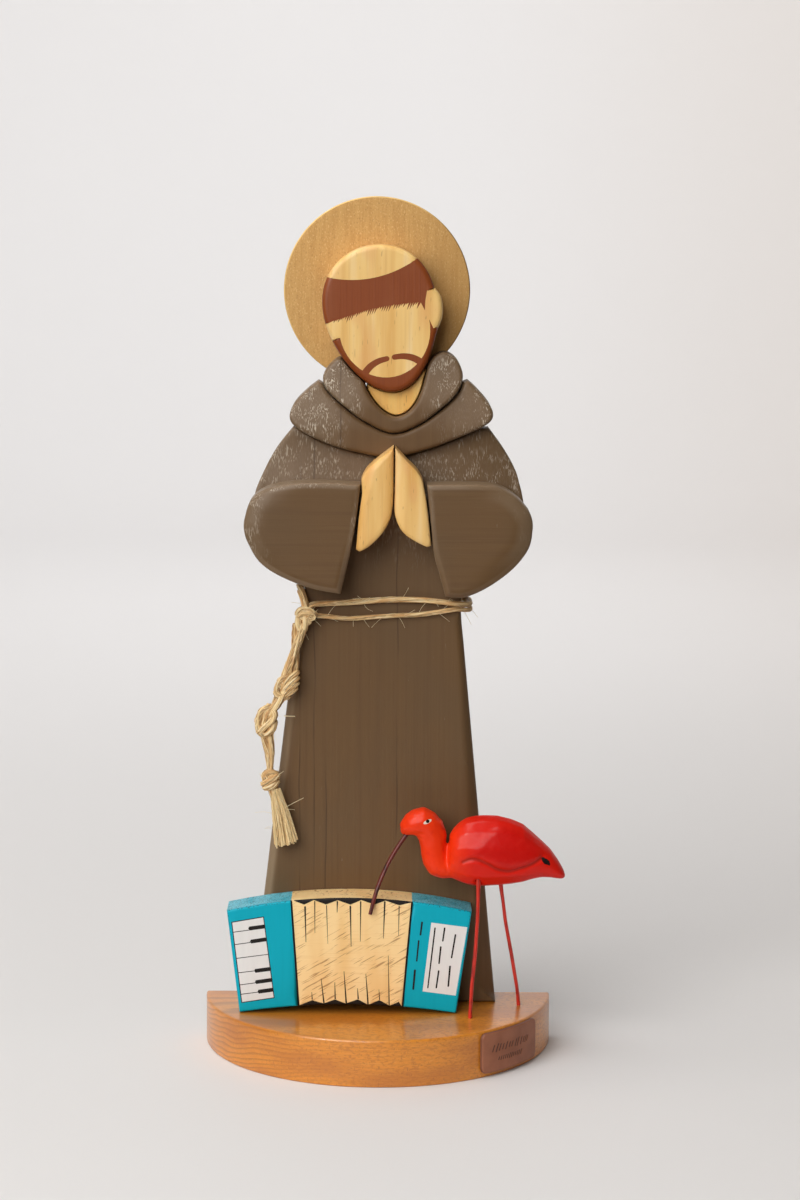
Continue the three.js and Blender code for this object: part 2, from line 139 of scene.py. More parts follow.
class Shade:
    """One value of a finish that varies over the wood, used in sums as a number is."""

    def __init__(self, finish, socket):
        self.finish, self.socket = finish, socket

    def sum(self, operation, *others, clamp=False):
        values = dict(enumerate((self, *others)))
        return self.finish.node(
            "ShaderNodeMath", {"operation": operation, "use_clamp": clamp}, values
        )

    def __add__(self, other):
        return self.sum("ADD", other)

    def __sub__(self, other):
        return self.sum("SUBTRACT", other)

    def __rsub__(self, other):
        return (self * -1) + other

    def __mul__(self, other):
        return self.sum("MULTIPLY", other)

    def __truediv__(self, other):
        return self.sum("DIVIDE", other)

    def __pow__(self, other):
        return self.sum("POWER", other)

    __radd__, __rmul__ = __add__, __mul__

    def rise(self, low, high):
        """0 below low, 1 above high, and smooth between."""
        settings = {"interpolation_type": "SMOOTHSTEP", "clamp": True}
        return self.finish.node(
            "ShaderNodeMapRange", settings, {0: self, 1: low, 2: high, 3: 0.0, 4: 1.0}
        )

    def drop(self, low, high):
        """1 below low, 0 above high, and smooth between."""
        return 1 - self.rise(low, high)

    def most(self, other):
        return self.sum("MAXIMUM", other)


class Finish:
    """One paint, varnish or bare surface: a principled shader, with what varies over it."""

    def __init__(self, name, **constants):
        self.material = bpy.data.materials.new(name)
        self.material.use_nodes = True
        self.tree = self.material.node_tree
        self.shader = self.tree.nodes["Principled BSDF"]
        for socket, value in constants.items():
            self.shader.inputs[socket.replace("_", " ")].default_value = value
        place = self.node("ShaderNodeTexCoord", out="Object")
        self.mm = self.vector("SCALE", place, Scale=1000.0)
        self.x, self.y, self.z = (
            self.node("ShaderNodeSeparateXYZ", inputs={0: self.mm}, out=i) for i in range(3)
        )

    def node(self, kind, settings=None, inputs=None, out=0):
        node = self.tree.nodes.new(kind)
        for key, value in (settings or {}).items():
            setattr(node, key, value)
        for key, value in (inputs or {}).items():
            self.feed(node.inputs[key], value)
        return Shade(self, node.outputs[out])

    def feed(self, socket, value):
        if isinstance(value, Shade):
            self.tree.links.new(value.socket, socket)
        else:
            socket.default_value = value

    def vector(self, operation, *vectors, **named):
        inputs = dict(enumerate(vectors))
        inputs.update(named)
        return self.node("ShaderNodeVectorMath", {"operation": operation}, inputs)

    def painted(self, ground, *layers):
        """A ground colour with layers over it, each a colour and how much of it covers."""
        colour = ground if isinstance(ground, Shade) else tone(*ground)
        for layer, cover in layers:
            inputs = {0: cover, 6: colour, 7: tone(*layer)}
            colour = self.node("ShaderNodeMix", {"data_type": "RGBA"}, inputs, 2)
        return colour

    def clouds(self, per_mm, detail=2.0, seed=0.0, place=None, rough=0.5):
        """Cloudy variation from 0 to 1, with so many clouds to the millimetre, either along X, Y
        and Z or alike in all directions."""
        if isinstance(per_mm, float):
            per_mm = (per_mm,) * 3
        moved = (seed * 3.7, seed * 5.3, seed * 7.1)
        place = self.vector("MULTIPLY_ADD", place or self.mm, per_mm, moved)
        inputs = {"Vector": place, "Scale": 1.0, "Detail": detail, "Roughness": rough}
        return self.node("ShaderNodeTexNoise", inputs=inputs)

    def attribute(self, name, out="Fac"):
        return self.node("ShaderNodeAttribute", {"attribute_name": name}, out=out)

    def rim(self, full, none):
        """1 along a piece's edge, dropping to 0 between two distances from it in millimetres."""
        return self.attribute("edge").drop(full, none)

    def coat(self, colour, roughness=None, relief=None, depth=0.1, **others):
        """Links the colour, the roughness and a relief, whose depth is in millimetres."""
        self.feed(self.shader.inputs["Base Color"], colour)
        if roughness is not None:
            self.feed(self.shader.inputs["Roughness"], roughness)
        if relief is not None:
            inputs = {"Height": relief, "Strength": 1.0, "Distance": depth / 1000}
            self.feed(self.shader.inputs["Normal"], self.node("ShaderNodeBump", inputs=inputs))
        for socket, value in others.items():
            self.feed(self.shader.inputs[socket.replace("_", " ")], value)
        return self.material


def run_smooth(points, spacing, closed=False, corner=28):
    """The points again, evenly and closely spaced on a smooth line that keeps its corners."""
    points = np.asarray(points, float)
    spans = []
    last = len(points) if closed else len(points) - 1
    for i in range(last):
        a, b = points[i], points[(i + 1) % len(points)]
        pieces = max(1, math.ceil(np.linalg.norm(b - a) / (spacing * 14)))
        spans += [a + (b - a) * k / pieces for k in range(pieces)]
    if not closed:
        spans.append(points[-1])
    spans = np.array(spans)
    count = len(spans)
    steps = np.roll(spans, -1, 0) - spans
    lengths = np.linalg.norm(steps, axis=1)
    if not closed:
        lengths[-1] = lengths[-2]
        steps[-1] = steps[-2]
    ways = steps / lengths[:, None]
    before, before_lengths = np.roll(ways, 1, 0), np.roll(lengths, 1)
    turn = np.degrees(np.arccos(np.clip((ways * before).sum(1), -1, 1)))
    blend = before_lengths[:, None] * ways + lengths[:, None] * before
    slopes = blend / (lengths + before_lengths)[:, None]
    sharp = turn > corner
    if not closed:
        sharp[0] = sharp[-1] = True
    line = []
    for i in range(count if closed else count - 1):
        j = (i + 1) % count
        a, b, size = spans[i], spans[j], lengths[i]
        leave = ways[i] if sharp[i] else slopes[i]
        arrive = ways[i] if sharp[j] else slopes[j]
        pieces = max(1, round(size / spacing))
        for k in range(pieces):
            t = k / pieces
            line.append(
                (2 * t**3 - 3 * t**2 + 1) * a + (t**3 - 2 * t**2 + t) * size * leave
                + (3 * t**2 - 2 * t**3) * b + (t**3 - t**2) * size * arrive
            )
    if not closed:
        line.append(spans[-1])
    return np.array(line)


def sawn_line(node, lying=False, share=0.5):
    """The line that a piece was sawn along: its solid cut across at a share of its depth."""
    low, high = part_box(node)
    axis = 2 if lying else 1
    normal = Vector((0, 0, 0))
    normal[axis] = 1
    solid = bmesh.new()
    solid.from_mesh(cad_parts[node].data)
    bmesh.ops.remove_doubles(solid, verts=solid.verts, dist=2e-5)
    everything = solid.verts[:] + solid.edges[:] + solid.faces[:]
    place = low.lerp(high, share)
    cut = bmesh.ops.bisect_plane(solid, geom=everything, plane_co=place, plane_no=normal)
    near = {}
    for edge in cut["geom_cut"]:
        if isinstance(edge, bmesh.types.BMEdge):
            a, b = edge.verts
            near.setdefault(a, []).append(b)
            near.setdefault(b, []).append(a)
    first = next(iter(near))
    walk, here, came = [first], near[first][0], first
    while here != first:
        walk.append(here)
        onward = [v for v in near[here] if v != came]
        here, came = onward[0], here
    upward = 1 if lying else 2
    loop = np.array([(v.co.x * 1000, v.co[upward] * 1000) for v in walk])
    solid.free()
    kept = []
    for i, point in enumerate(loop):
        a, b = loop[i - 1], loop[(i + 1) % len(loop)]
        off = abs((b - a)[0] * (point - a)[1] - (b - a)[1] * (point - a)[0])
        if off > 0.01 * np.linalg.norm(b - a):
            kept.append(point)
    loop = np.array(kept)
    after = np.roll(loop, -1, 0)
    area = (loop[:, 0] * after[:, 1] - after[:, 0] * loop[:, 1]).sum()
    return loop if area > 0 else loop[::-1]


def depth_inside(points, loop):
    """How far inside a closed line each point lies, and below zero outside it."""
    points, a = np.asarray(points, float), np.asarray(loop, float)
    b = np.roll(a, -1, 0)
    span = b - a
    size = np.maximum((span**2).sum(1), 1e-12)
    found = np.empty(len(points))
    for start in range(0, len(points), 1500):
        part = points[start:start + 1500, None, :]
        t = np.clip(((part - a) * span).sum(2) / size, 0, 1)
        away = np.sqrt(((part - a - t[..., None] * span) ** 2).sum(2)).min(1)
        over = (a[:, 1] > part[..., 1]) != (b[:, 1] > part[..., 1])
        rise = np.where(span[:, 1] == 0, 1e-12, span[:, 1])
        crossing = a[:, 0] + (part[..., 1] - a[:, 1]) * span[:, 0] / rise
        inside = (over & (part[..., 0] < crossing)).sum(1) % 2 == 1
        found[start:start + 1500] = np.where(inside, away, -away)
    return found


def away_from(points, line):
    """The distance of each point from an open line."""
    best = np.full(len(points), 1e9)
    for a, b in zip(np.array(line[:-1]), np.array(line[1:])):
        t = np.clip(((points - a) @ (b - a)) / ((b - a) @ (b - a)), 0, 1)
        best = np.minimum(best, np.linalg.norm(points - a - t[:, None] * (b - a), axis=1))
    return best


def rounded(depth, radius):
    """How far a rounded edge has fallen back at each distance from the sawn line."""
    depth = np.clip(depth, 0, radius)
    return radius - np.sqrt(radius**2 - (radius - depth) ** 2)


def plank(
    name, node, slot, finishes, lying=False, share=0.5, edge=1.0, back_edge=0.5, fall=None,
    back=None, paint=(), step=1.8, rings=(), spacing=0.9, corner=28, swell=0.0,
):
    """A sawn board in place of its solid: a close mesh on its face, which falls away by its
    rounded edge and by fall(u, v, depth), with a back, and walls that swell a little out of the
    sawn line. Each paint is (finish, outline, face, walls)."""
    low, high = (np.array(corner_point) * 1000 for corner_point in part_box(node))
    near, far = (-high[2], -low[2]) if lying else (low[1], high[1])
    line = run_smooth(sawn_line(node, lying, share), spacing, True, corner)
    ahead_of = np.roll(line, -1, 0) - np.roll(line, 1, 0)
    ahead_of /= np.linalg.norm(ahead_of, axis=1)[:, None]
    inward = np.stack([-ahead_of[:, 1], ahead_of[:, 0]], 1)
    widths = [edge * share_of for share_of in (0.04, 0.16, 0.4, 0.75, 1.1)] + list(rings)
    points = [line]
    for width in widths:
        ring = line + inward * width
        points.append(ring[depth_inside(ring, line) > width * 0.93])
    spans = [np.arange(line[:, i].min(), line[:, i].max(), step) for i in (0, 1)]
    grid = np.stack(np.meshgrid(*spans), -1).reshape(-1, 2)
    points.append(grid[depth_inside(grid, line) > max(widths) + step * 0.5])
    edges = [(i, (i + 1) % len(line)) for i in range(len(line))]
    total = sum(map(len, points))
    for _, outline, *_ in paint:
        count = len(outline)
        edges += [(total + i, total + (i + 1) % count) for i in range(count)]
        points.append(np.asarray(outline, float))
        total += count
    flat = [Vector(p) for p in np.concatenate(points)]
    flat, _, triangles, *_ = delaunay_2d_cdt(flat, edges, [], 0, 1e-5)
    flat = np.array([tuple(p) for p in flat])
    triangles = np.array(triangles)
    triangles = triangles[depth_inside(flat[triangles].mean(1), line) > 0]
    used, triangles = np.unique(triangles, return_inverse=True)
    flat, triangles = flat[used], triangles.reshape(-1, 3)
    depth = np.maximum(depth_inside(flat, line), 0)
    fallen = np.zeros(len(flat)) if fall is None else fall(flat[:, 0], flat[:, 1], depth)
    front = near + fallen + rounded(depth, edge)
    behind = far - rounded(depth, back_edge)
    if back is not None:
        behind = np.minimum(behind, back(flat[:, 0], flat[:, 1]))
    directed = {(a, b) for t in triangles.tolist() for a, b in zip(t, t[1:] + t[:1])}
    border = sorted((a, b) for a, b in directed if (b, a) not in directed)
    rows = 5
    wall = {}
    places = [np.stack([flat[:, 0], flat[:, 1], front], 1)]
    places.append(np.stack([flat[:, 0], flat[:, 1], behind], 1))
    extra = []
    for a, _ in border:
        middle = []
        for k in range(1, rows):
            middle.append(2 * len(flat) + len(extra))
            outward = flat[a] - flat.mean(0)
            wide = flat[a] + outward / np.linalg.norm(outward) * swell
            extra.append((*wide, front[a] + (behind[a] - front[a]) * k / rows))
        wall[a] = [a, *middle, a + len(flat)]
    places.append(np.array(extra))
    places = np.concatenate(places)
    if lying:
        places = places * (1, 1, -1)
    else:
        places = places[:, [0, 2, 1]]
    faces = triangles.tolist() + (triangles[:, ::-1] + len(flat)).tolist()
    for a, b in border:
        for k in range(rows):
            faces.append([wall[b][k], wall[a][k], wall[a][k + 1], wall[b][k + 1]])
    coats = np.zeros(len(faces), int)
    centres = flat[triangles].mean(1)
    sides = np.array([(flat[a] + flat[b]) / 2 for a, b in border])
    way = np.array([flat[b] - flat[a] for a, b in border])
    way /= np.linalg.norm(way, axis=1)[:, None]
    sides += np.stack([-way[:, 1], way[:, 0]], 1) * 0.02
    for coat, outline, on_face, on_walls in paint:
        if on_face:
            coats[:len(triangles)][depth_inside(centres, outline) > 0] = coat
        if on_walls:
            hit = depth_inside(sides, outline) > 0
            coats[2 * len(triangles):][np.repeat(hit, rows)] = coat
            coats[len(triangles):2 * len(triangles)][depth_inside(centres, outline) > 0] = coat
    from_edge = np.concatenate([depth, depth, np.zeros(len(extra))])
    mesh = meshed(name, places, faces, edge=from_edge)
    mesh.polygons.foreach_set("material_index", coats)
    return fit(shown(name, mesh, finishes), slot, node)


def meshed(name, places, faces, **values):
    """A mesh of those places, in millimetres, with named values at its points."""
    mesh = bpy.data.meshes.new(name)
    mesh.from_pydata((np.array(places) / 1000).tolist(), [], faces)
    return mark(mesh, **values)


def mark(mesh, **values):
    """The mesh with named values at its points, which a finish can read."""
    for key, value in values.items():
        mesh.attributes.new(key, "FLOAT", "POINT").data.foreach_set("value", value)
    return mesh


def shown(name, mesh, finishes, smooth=38):
    """A mesh made into a piece of the scene, with its finishes."""
    for finish in finishes:
        mesh.materials.append(finish)
    mesh.shade_smooth()
    mesh.set_sharp_from_angle(angle=math.radians(smooth))
    piece = bpy.data.objects.new(name, mesh)
    bpy.context.scene.collection.objects.link(piece)
    return piece


def fit(piece, slot, *nodes):
    """The piece stands for those solids, which it hides, and stays with the statue; slot is not used."""
    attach(piece, "root")
    if nodes:
        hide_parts(*nodes)
    return piece


def varnished_pine():
    varnish = Finish("honey_varnish", Roughness=0.34, Coat_Roughness=0.14, IOR=1.5)
    wander = varnish.clouds((0.007, 0.03, 0.03), 2, 2) * 14
    rings = ((varnish.z * 1.05 + varnish.y * 0.16 + wander) / RING_SPACING).sum("FRACT")
    late = rings.rise(0.35, 0.85) * rings.drop(0.9, 1.0)
    left = varnish.x.drop(-58, -12)
    fibres = varnish.clouds((0.05, 1.5, 2.4), 4, 5)
    broad = varnish.clouds((0.02, 0.05, 0.09), 2, 9)
    mottle = varnish.clouds((0.5, 0.5, 1.3), 2, 12)
    pores = varnish.clouds((2.6, 2.6, 0.6), 1, 4).rise(0.66, 0.74)
    colour = varnish.painted(
        VARNISH_LIGHT,
        (VARNISH_DARK, late * (0.13 + left * 0.33)),
        ((232, 168, 78), fibres.rise(0.5, 0.75) * 0.35),
        ((176, 100, 34), broad.rise(0.42, 0.7) * 0.55),
        ((178, 104, 36), mottle.rise(0.46, 0.66) * (0.6 - left * 0.4)),
        ((120, 66, 22), pores * 0.45),
    )
    rough = 0.3 + fibres * 0.12
    relief = fibres * 0.5 - late * 0.3 - pores * 0.5
    return varnish.coat(colour, rough, relief, 0.04, Coat_Weight=0.36 + broad * 0.2)


plank(
    "base_board", "base", "varnished_pine", [varnished_pine()], lying=True, edge=BASE_ROUND,
    back_edge=0.6,
)


# The leather tag is a small plate of brown leather glued round the curved front of the base.
# It bears rows of shallow pressed strokes, and its edge is cut clean and a little darker.
TAG_FROM, TAG_TO = math.radians(34.8), math.radians(61.5)
TAG_INNER, TAG_THICK = 75.3, 1.5
TAG_BOTTOM, TAG_TOP, TAG_CORNER = 2.0, 19.2, 2.6
TAG_STEP, BASE_BACK = 0.26, 37.5
STROKE_HALF, STROKE_DEEP = 0.3, 0.28


def pressed_strokes():
    """Rows of slanting strokes pressed into the leather, as (from, to) in millimetres."""
    draw = random.Random(11)
    strokes = []
    for height, size, at, stop in ((10.2, 2.6, 5.6, 28.0), (5.4, 1.4, 9.0, 24.0)):
        while at < stop:
            tall = size * draw.uniform(0.7, 1.3)
            foot = height - tall / 2
            strokes.append(((at, foot), (at + tall * 0.4, foot + tall)))
            at += max(1.25, size * draw.uniform(0.5, 0.9))
    return strokes


def make_tag():
    long, tall = (TAG_TO - TAG_FROM) * TAG_INNER, TAG_TOP - TAG_BOTTOM
    across, up = round(long / TAG_STEP), round(tall / TAG_STEP)
    u, v = np.meshgrid(np.linspace(0, long, across + 1), np.linspace(0, tall, up + 1))
    u, v = u.ravel(), v.ravel()
    beyond_u = np.abs(u - long / 2) - (long / 2 - TAG_CORNER)
    beyond_v = np.abs(v - tall / 2) - (tall / 2 - TAG_CORNER)
    corner = (beyond_u > 0) & (beyond_v > 0)
    reach = np.hypot(beyond_u, beyond_v)
    square = np.maximum(beyond_u, beyond_v)
    pull = np.where(corner, square / np.maximum(reach, 1e-9), 1)
    half_long, half_tall = long / 2, tall / 2
    pulled_u = half_long - TAG_CORNER + beyond_u * pull
    pulled_v = half_tall - TAG_CORNER + beyond_v * pull
    u = np.where(corner, half_long + np.sign(u - half_long) * pulled_u, u)
    v = np.where(corner, half_tall + np.sign(v - half_tall) * pulled_v, v)
    inset = TAG_CORNER - np.where(corner, square, np.maximum(beyond_u, beyond_v))
    inset = np.maximum(inset, 0)
    flat, pressed = np.stack([u, v], 1), np.zeros(len(u))
    for ends in pressed_strokes():
        pressed = np.maximum(pressed, np.exp(-((away_from(flat, ends) / STROKE_HALF) ** 2)))
    high = TAG_THICK - rounded(inset, 0.5) - STROKE_DEEP * pressed
    count = len(u)
    places = []
    for radius in (TAG_INNER + high, np.full(count, TAG_INNER)):
        angle = TAG_FROM + u / TAG_INNER
        x, y = radius * np.sin(angle), BASE_BACK - radius * np.cos(angle)
        places.append(np.stack([x, y, TAG_BOTTOM + v], 1))
    wide = across + 1
    faces = []
    for j in range(up):
        for i in range(across):
            a = j * wide + i
            faces.append((a, a + 1, a + 1 + wide, a + wide))
            faces.append((a + count, a + wide + count, a + 1 + wide + count, a + 1 + count))
    rim = list(range(wide)) + [j * wide + across for j in range(1, up + 1)]
    rim += [up * wide + i for i in range(across - 1, -1, -1)]
    rim += [j * wide for j in range(up - 1, 0, -1)]
    for a, b in zip(rim, rim[1:] + rim[:1]):
        faces.append((b, a, a + count, b + count))
    at_points = {"pressed": pressed, "edge": inset}
    at_points = {key: np.concatenate([value, value * 0]) for key, value in at_points.items()}
    return meshed("leather_tag", np.concatenate(places), faces, **at_points)


def brown_leather():
    hide = Finish("brown_leather", Roughness=0.55, IOR=1.45)
    grain = hide.clouds(2.4, 3, 1)
    broad = hide.clouds(0.12, 2, 3)
    colour = hide.painted(
        (158, 98, 70),
        ((142, 86, 60), broad.rise(0.35, 0.7)),
        ((164, 108, 82), grain.rise(0.55, 0.75) * 0.2),
        ((52, 28, 20), hide.attribute("pressed").rise(0.1, 0.8) * 0.85),
        ((80, 46, 34), hide.rim(0.0, 0.4) * 0.6),
    )
    return hide.coat(colour, 0.46 + grain * 0.12, grain, 0.03)


fit(shown("tag_plate", make_tag(), [brown_leather()], 50), "leather", "leather_tag")


# The robe is one board of pine from hem to shoulders, standing on the base. Its edges are chamfered
# with a plane, its chest slopes back to the shoulders, and it is brushed with brown paint. A painted
# sheen and painted glints lie on the chest, and a painted highlight runs down the left chamfer.
ROBE_BROWN = (106, 78, 47)
WAIST, HEM, CHAMFER_STEEP = (185, 196), 20.3, 0.8
LEFT_CHAMFER, RIGHT_CHAMFER, RIGHT_WIDENS = 3.7, 1.8, 4.2


def ease(value, low, high):
    """0 below low, 1 above high, and smooth between, for sizes."""
    t = np.clip((value - low) / (high - low), 0, 1)
    return t * t * (3 - 2 * t)


def robe_fall(u, v, depth):
    skirt = 1 - ease(v, *WAIST)
    left = LEFT_CHAMFER * skirt * (u < 0)
    downward = np.clip((190 - v) / 170, 0, 1)
    right = (RIGHT_CHAMFER + RIGHT_WIDENS * downward) * skirt * (u > 0)
    hem = np.clip((v - HEM - depth) / 2, 0, 1)
    chamfer = np.maximum(0, left + right - depth) * hem * CHAMFER_STEEP
    shoulder = 4.5 * ease(v, 200, 246) * np.minimum(1, (np.abs(u - 4) / 52) ** 3)
    return chamfer + shoulder + ease(v, 236, 262) * 2.4


def brown_paint(name, wear_and_sheen=None, glints=0.0, joints=(), lying=False, painted_edge_highlight=None):
    """Brown paint brushed over pine. Where a sheen mask is given, a painted sheen and painted glints
    stand in for the light that the ridges of the grain catch; where an edge mask is given, a painted
    highlight lightens that edge; and joints are the places along X where a dark line of grain shows."""
    coat = Finish(name, Roughness=0.5, IOR=1.46, Specular_IOR_Level=0.4)
    across, along = ((0.03, 1.3) if lying else (1.3, 0.02))
    streaks = coat.clouds((across, across, along), 3, 1)
    brushed = coat.clouds((across * 0.35, across * 0.35, along * 0.35), 2, 6)
    broad = coat.clouds((0.03, 0.03, 0.02), 2, 3)
    ridges = coat.clouds((3.1, 3.1, 0.36), 1, 8)
    spots = coat.clouds((0.24, 0.24, 0.16), 1, 14)
    patches = coat.clouds((0.3, 0.3, 0.12), 2, 14)
    colour = coat.painted(
        ROBE_BROWN,
        ((96, 69, 41), brushed.rise(0.4, 0.75) * 0.5),
        ((115, 87, 55), streaks.rise(0.5, 0.8) * 0.4),
        ((100, 77, 51), broad.rise(0.4, 0.7) * 0.5),
    )
    # A painted highlight lightens the edges given for it.
    if painted_edge_highlight is not None:
        colour = coat.painted(colour, ((144, 121, 95), painted_edge_highlight(coat)))
    # Painted glints: light specks on the ridges of the grain, where light would catch them.
    shine = ridges.rise(0.72, 0.8) * patches.rise(0.62, 0.72) * 0.2
    rough = 0.46 + brushed * 0.14
    # A painted sheen lightens the paint where the sheen mask is given, with denser painted glints.
    if wear_and_sheen is not None:
        where = wear_and_sheen(coat)
        colour = coat.painted(colour, ((128, 107, 84), where * 0.55))
        lit = ridges.rise(0.54, 0.64) * (0.1 + spots.rise(0.45, 0.59) * 0.9)
        shine = shine.most(lit * where * glints)
        rough = rough - where * 0.08
    colour = coat.painted(colour, ((218, 204, 184), shine))
    for number, place in enumerate(joints):
        wander = coat.clouds((0.0, 0.0, 0.03), 1, number) * 2.4 - 1.2
        off = (coat.x - place + wander).sum("ABSOLUTE")
        broken = coat.clouds((0.0, 0.0, 0.02), 1, number + 20).rise(0.4, 0.6)
        colour = coat.painted(colour, ((72, 51, 32), off.drop(0.1, 0.45) * broken * 0.65))
    rim = coat.rim(0.1, 0.7) * patches.rise(0.35, 0.6)
    colour = coat.painted(colour, ((146, 122, 96), rim * 0.3))
    relief = streaks * 0.4 + ridges * (0.2 + shine)
    return coat.coat(colour, rough, relief, 0.12)


def on_shoulders(coat):
    """Where the painted sheen and glints go: the chest, most of all the left shoulder's edge and the
    right shoulder by the sleeve.
    """
    edge = coat.rim(1.0, 3.4) * coat.x.drop(-40, -30)
    right = coat.x.rise(34, 42) * coat.z.drop(244, 251) * 0.5
    return coat.z.rise(204, 246) * edge.most(right).most(0.5)


def on_left_chamfer(coat):
    """Where a painted highlight lightens the outer half of the chamfer down the skirt's left side, which
    faces the light.
    """
    skirt = coat.z.rise(24, 34) * coat.z.drop(176, 194)
    return coat.rim(2.2, 4.2) * coat.x.drop(-20, -10) * skirt * 0.85


ROBE_JOINTS = (-33.8, -27.8, -22.6, 7.6)
robe_finish = brown_paint("robe_brown", on_shoulders, 0.85, ROBE_JOINTS, painted_edge_highlight=on_left_chamfer)
plank(
    "robe_board", "robe", "brown_wood", [robe_finish], fall=robe_fall,
    rings=(2.2, 3.4, 4.8, 6.2),
)


# The hood is a cowl and a collar, sawn from the robe's board with a thin saw and put back a
# little proud of it. Their faces slope back to the tips, where a painted sheen and painted glints
# stand for the light caught by the ridges of the grain, most on the left, towards the light.
def hood_fall(low, high, deep):
    return lambda u, v, depth: ease(v, low, high) * deep


def on_lobes(start, full):
    """Where the painted sheen and glints go: both ends of a hood ring, most of all the left one towards
    the light, from so far to the side of its middle.
    """
    def where(coat):
        left = ((coat.x - HOOD_MIDDLE) * -1).rise(start, full)
        return left.most((coat.x - HOOD_MIDDLE).rise(start, full) * 0.6)
    return where


HOOD_MIDDLE = 5
HOOD_RINGS = [
    ("cowl", on_lobes(15, 31), 0.9, (-29.6, -16.7), hood_fall(267, 290, 4.2)),
    ("collar", on_lobes(10, 19), 0.95, (-16.7,), hood_fall(276, 300, 5.2)),
]
for ring, wear_and_sheen, glints, joints, fall in HOOD_RINGS:
    finish = brown_paint(f"{ring}_brown", wear_and_sheen, glints, joints)
    plank(
        f"{ring}_board", ring, "brown_wood", [finish], edge=1.6, back_edge=0.6, fall=fall,
        step=1.3,
    )


# The neck is a small slip of bare pine between the collar and the chin, with its grain upright,
# sanded and left pale.
def bare_pine(name, seed, pale=(246, 204, 128), warm=(228, 172, 90), rust=0.4):
    """Sanded pine with its grain upright: uneven soft bands of pale and warm wood, and flecks."""
    wood = Finish(name, Roughness=0.46, IOR=1.45)
    bands = wood.clouds((0.12, 0.12, 0.012), 2, seed + 2, rough=0.55)
    lines = wood.clouds((0.9, 0.9, 0.02), 2, seed + 5)
    fibres = wood.clouds((2.8, 2.8, 0.09), 2, seed + 4)
    flecks = wood.clouds((1.5, 1.5, 0.26), 0, seed + 6).rise(0.76, 0.84)
    rosy = wood.clouds((0.12, 0.12, 0.05), 1, seed + 8).rise(0.52, 0.7)
    colour = wood.painted(
        pale,
        (warm, bands.rise(0.42, 0.68) * 0.75),
        ((248, 220, 168), (1 - bands).rise(0.56, 0.7) * 0.5),
        ((212, 156, 86), lines.rise(0.56, 0.72) * 0.22),
        ((230, 166, 106), rosy * 0.35),
        ((250, 220, 166), fibres.rise(0.5, 0.8) * 0.2),
        ((150, 92, 44), flecks * rust),
        ((206, 150, 90), wood.rim(0, 0.45) * 0.3),
    )
    return wood.coat(colour, 0.42 + fibres * 0.14, fibres * 0.5 + lines * 0.4, 0.04)


neck_pine = bare_pine("neck_pine", 3, (255, 206, 116), (246, 178, 82))
plank("neck_slip", "neck", "bare_pine", [neck_pine], edge=0.5, step=1.2, swell=0.7)


# The head is a sawn egg of bare pine, its edge rounded over. A band of hair below a bare crown,
# a beard along the jaw and a moustache are brushed on flat in red-brown, and the face is blank.
# The brow, the foot of the nose and the chin are evenly apart, as in a drawing book.
HEAD_CENTRE, HEAD_LEAN = (0.6, 314.3), math.radians(12)
CHIN = -31.0
THIRD = -CHIN / 2
EAR_TOP, EAR_FOOT = 7.8, -9.0
BROW, NOSE_FOOT = 0.0, CHIN + THIRD
HAIR_ABOVE_BROW, CROWN_EDGE = 4.0, 17.5
CHEEK_WIDE, JAW_INSIDE = 19.0, 6.5


def on_head(points):
    """Points across and up the head, from its middle, as they lie on the leaning board."""
    points = np.asarray(points, float)
    upright, aside = math.cos(HEAD_LEAN), math.sin(HEAD_LEAN)
    return points @ np.array([[upright, aside], [-aside, upright]]) + HEAD_CENTRE


def fringe(points, size, seed):
    """The line with the short slanting teeth that a loaded brush leaves below it."""
    draw = random.Random(seed)
    teeth = []
    for point in run_smooth(points, 0.95):
        long = size * draw.uniform(0.15, 1)
        teeth += [point, point + (-0.45 * long, -long)]
    return teeth


def stroke(points, widths, spacing=0.7):
    """The outline of one brush stroke along the points, with its half widths."""
    line = run_smooth(points, spacing)
    way = np.gradient(line, axis=0)
    way /= np.linalg.norm(way, axis=1)[:, None]
    side = np.stack([-way[:, 1], way[:, 0]], 1)
    at = np.linspace(0, len(widths) - 1, len(line))
    half = np.interp(at, range(len(widths)), widths)[:, None]
    turns = np.radians(np.arange(-60, 61, 30))[:, None]
    tip = line[0] - (way[0] * np.cos(turns) + side[0] * np.sin(turns)) * widths[0]
    return np.concatenate([tip[::-1], line + side * half, (line - side * half)[::-1]])[::-1]


def head_paint():
    across = np.linspace(-27, 27, 37)
    top = np.stack([across, CROWN_EDGE + 4.5 * (across / 20) ** 2], 1)
    hairline = BROW + HAIR_ABOVE_BROW
    left_end = [(-27, hairline - 1.5), (-22, hairline - 1)]
    brow_hair = [(x, hairline + 1.2 * math.cos(x / 10)) for x in (-20, -14, -8, -2, 4, 10, 16)]
    sideburn = [(17, hairline - 0.5), (18, BROW), (19, hairline)]
    sideburn += [(20.5, EAR_TOP), (27, EAR_TOP + 1)]
    hair = [*left_end, *fringe(brow_hair, 3.0, 4), *sideburn, *top[::-1]]
    around = np.linspace(-math.pi / 2, math.pi / 2, 25)
    deep = -4 - (CHIN + JAW_INSIDE)
    jaw = [(CHEEK_WIDE * math.sin(a), -4 - deep * math.cos(a)) for a in around]
    beard = [*jaw, (CHEEK_WIDE + 1, EAR_FOOT + 1), (27, EAR_FOOT)]
    beard += [(27, -36), (-27, -36), (-27, -6)]
    coats = [hair, beard]
    for side in (-1, 1):
        half = [(1.6, 0), (5, -0.3), (9, -1.8), (12.5, -4.6)]
        line = [(side * x, NOSE_FOOT - 1 + y) for x, y in half]
        coats.append(stroke(line, (1.1, 1.25, 1.4, 1.5)))
    return [(1, on_head(shape), True, True) for shape in coats]


